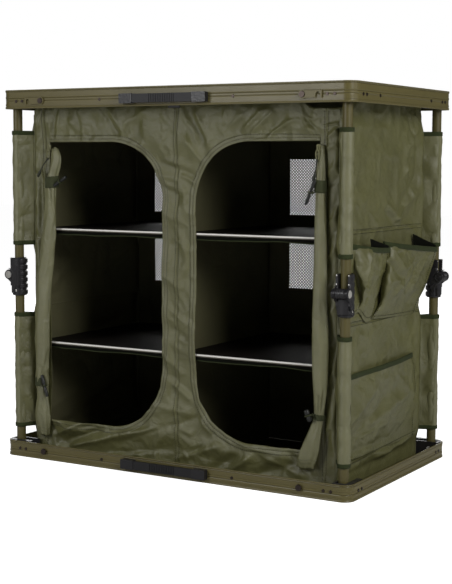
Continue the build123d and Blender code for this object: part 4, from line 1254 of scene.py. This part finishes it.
strip_profile = ((0.2, 2.0), (-2.5, 2.4), (-6.2, 2.6), (-8.0, 2.4), (-8.2, 1.2), (-6.2, 0.9), (-1.5, 1.2))
for level in ("lower", "upper"):
    low, high = box_mm(f"{level}_shelf_trims")
    for end, side in (("left", -1), ("right", 1)):
        x = np.sort(ticks(4, high[0] - 4, 5) * side)
        sway = 0.9 * np.sin(x / 31 + side) + 0.9 * noise(x, 0 * x, 44, 120 + side)
        rows = []
        for drop, lean in strip_profile:
            rows.append(xyz(x, low[1] + 0.6 + lean * 0.5 + 0.3 * sway, low[2] + drop + sway * (0.25 - drop * 0.12)))
        name = f"{level}_shelf_hem_{end}"
        strip = make(name, *grid(rows), painted_shade_cloth, binding, body=f"{level}_shelves", finish="green_webbing")
        # only the rolled lower edge is green; the rest of the strip is painted shade
        for number, face in enumerate(strip.data.polygons):
            face.material_index = int(2 <= number // (len(x) - 1) <= 4)


# Knees: a socket with a ribbed back and two prongs, lugs with eyes for the pin, and the pin's cap.
# They are drawn in a knee's own axes: towards the pin, along the pin and up, from the middle of the leg.

knee_z, pin_way = 380.0, 17.0
pin_place = (pin_way, 0, knee_z)
pin_sides = {"front_left": (-1, 0), "front_right": (0, -1), "back_right": (1, 0), "back_left": (0, 1)}


def slab(outline, low, high, bevel):
    """An outline that runs to the left round itself, raised from low to high, with its edges bevelled."""
    outline = np.asarray(outline, float)
    inward = sideways(outline, True)
    steps = ((low, bevel), (low + bevel, 0), (high - bevel, 0), (high, bevel))
    rows = [xyz(*(outline + inset * inward).T, level) for level, inset in steps]
    return np.concatenate(rows), capped(4, len(outline))


def arc(middle, radius, first, last, count=16):
    turn = np.radians(np.linspace(first, last, count))
    return [(middle[0] + radius * cos(a), middle[1] + radius * sin(a)) for a in turn]


def placed(leg, part):
    """A part from a knee's own axes to the object's."""
    side_x, side_y = legs[leg]
    toward_x, toward_y = pin_sides[leg]
    points, faces = part
    along, across, up = np.asarray(points, float).reshape(-1, 3).T
    x = side_x * leg_x + along * toward_x - across * toward_y
    return xyz(x, side_y * leg_y + along * toward_y + across * toward_x, up), faces


socket = [slab(arc((0, 0), 13.6, 0, 350, 36), 338.5, 359, 0.8), slab(arc((0, 0), 14.8, 0, 350, 36), 337, 341, 0.9)]
channel = [(12.6, 9.8), (12.6, 14.6), (8, 14.8)] + arc((0, 0), 14.6, 92, 268, 30)
channel += [(8, -14.8), (12.6, -14.6), (12.6, -9.8)] + arc((0, 0), 9.8, 270, 90, 24)
socket.append(slab(channel, 357, 415.5, 0.7))
socket.append(slab([(8, -11), (13, -11), (14.4, -6), (14.8, 0), (14.4, 6), (13, 11), (8, 11)], 341, 370, 0.8))
lug = [(-4, 362), (2, 350), (7.5, 349), (10, 362)] + arc((pin_way, knee_z), 9.8, -62, 100, 26)
lug += [(12.2, 394), (10, 398), (-4, 398)]
for low, high in ((9.9, 15.4), (-15.4, -9.9)):
    # the slab's height is laid along the pin
    points, faces = slab(lug, low, high, 0.7)
    socket.append((points[:, [0, 2, 1]], [face[::-1] for face in faces]))
# the eye round the pin: open round the grey cap on one side, closed on the other
rims = {
    1: [(6.8, 15.0), (9.7, 15.0), (9.9, 15.8), (9.3, 17.0), (8.4, 17.2), (7.9, 16.8), (7.7, 15.4)],
    -1: [
        (2.0, 15.0), (9.7, 15.0), (9.9, 15.8), (9.3, 17.6), (7.6, 18.4), (7.0, 17.6), (4.6, 17.4), (3.8, 18.2),
        (0.2, 18.4),
    ],
}
for way in (-1, 1):
    socket.append(lathe(rims[way], pin_place, (0, way, 0), 32))
    for q in (10.6, 12.2, 13.8):
        ring = [(9.4, q - 0.5), (10.5, q - 0.35), (10.5, q + 0.35), (9.4, q + 0.5)]
        socket.append(lathe(ring, pin_place, (0, way, 0), 32))
    brace = [(10.5, 15.3, 371), (2, 15.4, 361), (-6, 14.2, 352), (-9, 11.6, 346)]
    bow = [(p, 15.1, h) for p, h in arc((pin_way, knee_z), 12.6, 92, 168, 12)]
    brow = [(-4, 14.6, 404), (3, 14.8, 407), (9, 14.7, 404)]
    for line, radius in ((brace, (0.7, 0.9, 0.9, 0.5)), (bow, 0.8), (brow, 0.6)):
        socket.append(tube([(p, way * q, h) for p, q, h in line], radius))
turn, z = np.meshgrid(np.radians(np.linspace(180 - 62, 180 + 62, 25)), np.linspace(338, 416.5, 90))
t = ((z - 337.5) / 13.1) % 1
tooth = smoothstep(t, 0.04, 0.16) * (1 - smoothstep(t, 0.7, 0.95))
inner = smoothstep(np.cos(turn - pi), cos(radians(61)), cos(radians(50)))
radius = 13.4 + inner * (1.0 + 2.4 * tooth) * smoothstep(z, 337.9, 338.8) * smoothstep(-z, -416.6, -415.7)
socket.append(grid(xyz(radius * np.cos(turn), radius * np.sin(turn), z)))

cap_profile = [(0.2, 14.0), (7.6, 14.2), (7.6, 16.4), (7.0, 17.0), (5.2, 17.2), (4.9, 17.0), (3.4, 17.2), (0.2, 17.5)]
cap = lathe(cap_profile, pin_place, (0, 1, 0), 32)
pin = lathe([(3.0, -14.5), (3.0, -10), (3.0, 10), (3.0, 14.5)], pin_place, (0, 1, 0), 16)
knuckle_profile = [
    (7.0, -9.4), (9.5, -9.3), (9.7, -8.6), (9.7, -5.4), (9.0, -4.8), (9.0, -3.9), (9.7, -3.3), (9.7, -0.6), (9.0, 0),
    (9.0, 0.9), (9.7, 1.5), (9.7, 4.4), (9.0, 5.0), (9.0, 5.8), (9.7, 6.3), (9.7, 8.6), (9.5, 9.3), (7.0, 9.4),
]
knuckle = lathe(knuckle_profile, pin_place, (0, 1, 0), 32)
dome = ((1.9, -0.5), (1.9, 0.3), (1.4, 1.0), (0.5, 1.3), (0.1, 1.35))
screws = [lathe(dome, (12.4, q, z), (1, 0, 0), 12) for q in (-12.2, 12.2) for z in (412.6, 396.4)]
rim = ((2.6, -0.3), (2.6, 0.4), (2.0, 0.9), (1.0, 1.0), (0.9, 0.4), (0.1, 0.4))
screws.append(lathe(rim, (-1.0, 13.4, 347.5), (0.0, 1, 0), 14))

knee_parts = {
    "knee_body": (joined(socket), black, "lower", ["knee_socket"]),
    "knee_cap": (joined([cap, pin]), grey, "lower", ["knee_pin"]),
    "knee_knuckle": (knuckle, black, "upper", []),
    "knee_screws": (joined(screws), stud_steel, "lower", []),
}
for leg in legs:
    for name, (part, material, half, replaced) in knee_parts.items():
        piece = crisp(make(f"{leg}_{name}", *placed(leg, part), material, body=f"{leg}_{half}_leg"))
        for cad_name in replaced:
            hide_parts(f"{leg}_{cad_name}")

# A small tab hangs under the top rail beside the handle
tab_x = np.linspace(8, 34, 10)
tab_profile = ((6, -234.0), (1, -234.2), (-3.6, -233.8), (-4.4, -232.8), (-3.6, -231.8), (1, -231.6))
rows = [xyz(tab_x, y, rail_under + rise) for rise, y in tab_profile]
make("handle_tab", *grid(rows), black, body="top_frame")


# Camera, light and floor

camera_data = bpy.data.cameras.new("camera")
camera = shown("camera", camera_data)
azimuth, elevation, roll_angle = radians(30.56), radians(5.61), radians(0.18)
back_way = Vector((sin(azimuth) * cos(elevation), -cos(azimuth) * cos(elevation), sin(elevation)))
right_way = Vector((cos(azimuth), sin(azimuth), 0))
up_way = back_way.cross(right_way)
turned_right = right_way * cos(roll_angle) + up_way * sin(roll_angle)
turned_up = up_way * cos(roll_angle) - right_way * sin(roll_angle)
facing = Matrix((turned_right, turned_up, back_way)).transposed().to_4x4()
camera.matrix_world = Matrix.Translation((1.4171, -2.4007, 0.6188)) @ facing
camera_data.lens = 82.77
camera_data.sensor_width = 36
camera_data.clip_end = 60
bpy.context.scene.camera = camera


def softbox(name, place, target, size, power):
    lamp = bpy.data.lights.new(name, "AREA")
    lamp.shape = "RECTANGLE"
    lamp.size, lamp.size_y = size
    lamp.energy = power
    light = shown(name, lamp)
    light.location = place
    light.rotation_euler = (Vector(target) - Vector(place)).to_track_quat("-Z", "Y").to_euler()


softbox("left", (-1.2, -2.9, 1.35), (0, 0, 0.5), (1.0, 1.3), 28)
softbox("right", (2.5, -1.2, 1.7), (0.1, 0, 0.5), (1.0, 1.2), 37)
softbox("top", (0.0, 0.1, 3.0), (0, 0, 0.5), (2.0, 2.0), 8)
softbox("rear", (-1.6, 2.6, 1.6), (0, 0, 0.4), (2.2, 1.6), 45)
softbox("edge", (2.9, 0.5, 1.2), (0, 0, 0.5), (1.2, 1.2), 6)

world = bpy.data.worlds.new("studio")
bpy.context.scene.world = world
world.use_nodes = True
tree = world.node_tree
# the camera sees white, and little of it lights the object
seen = node(tree, "LightPath").outputs["Is Camera Ray"]
strength = node(tree, "MapRange", Value=seen, To_Min=0.055, To_Max=1.0).outputs["Result"]
fill(tree, tree.nodes["Background"], Strength=strength, Color=(1, 1, 1, 1))

floor_mesh = bpy.data.meshes.new("floor")
floor_mesh.from_pydata([(-12, -12, 0), (12, -12, 0), (12, 12, 0), (-12, 12, 0)], [], [(0, 1, 2, 3)])
shown("floor", floor_mesh)
floor_paint = bpy.data.materials.new("floor")
floor_paint.use_nodes = True
tree = floor_paint.node_tree
tree.nodes.remove(tree.nodes["Principled BSDF"])
matt = node(tree, "BsdfDiffuse", Color=(0.8, 0.8, 0.8, 1)).outputs[0]
glow = maths(tree, "MULTIPLY", node(tree, "LightPath").outputs["Is Camera Ray"], 0.94)
total = node(tree, "AddShader")
for part, socket in zip((matt, node(tree, "Emission", Strength=glow).outputs[0]), total.inputs):
    give(tree, socket, part)
fill(tree, tree.nodes["Material Output"], Surface=total.outputs[0])
floor_mesh.materials.append(floor_paint)

bpy.context.scene.view_settings.view_transform = "Standard"
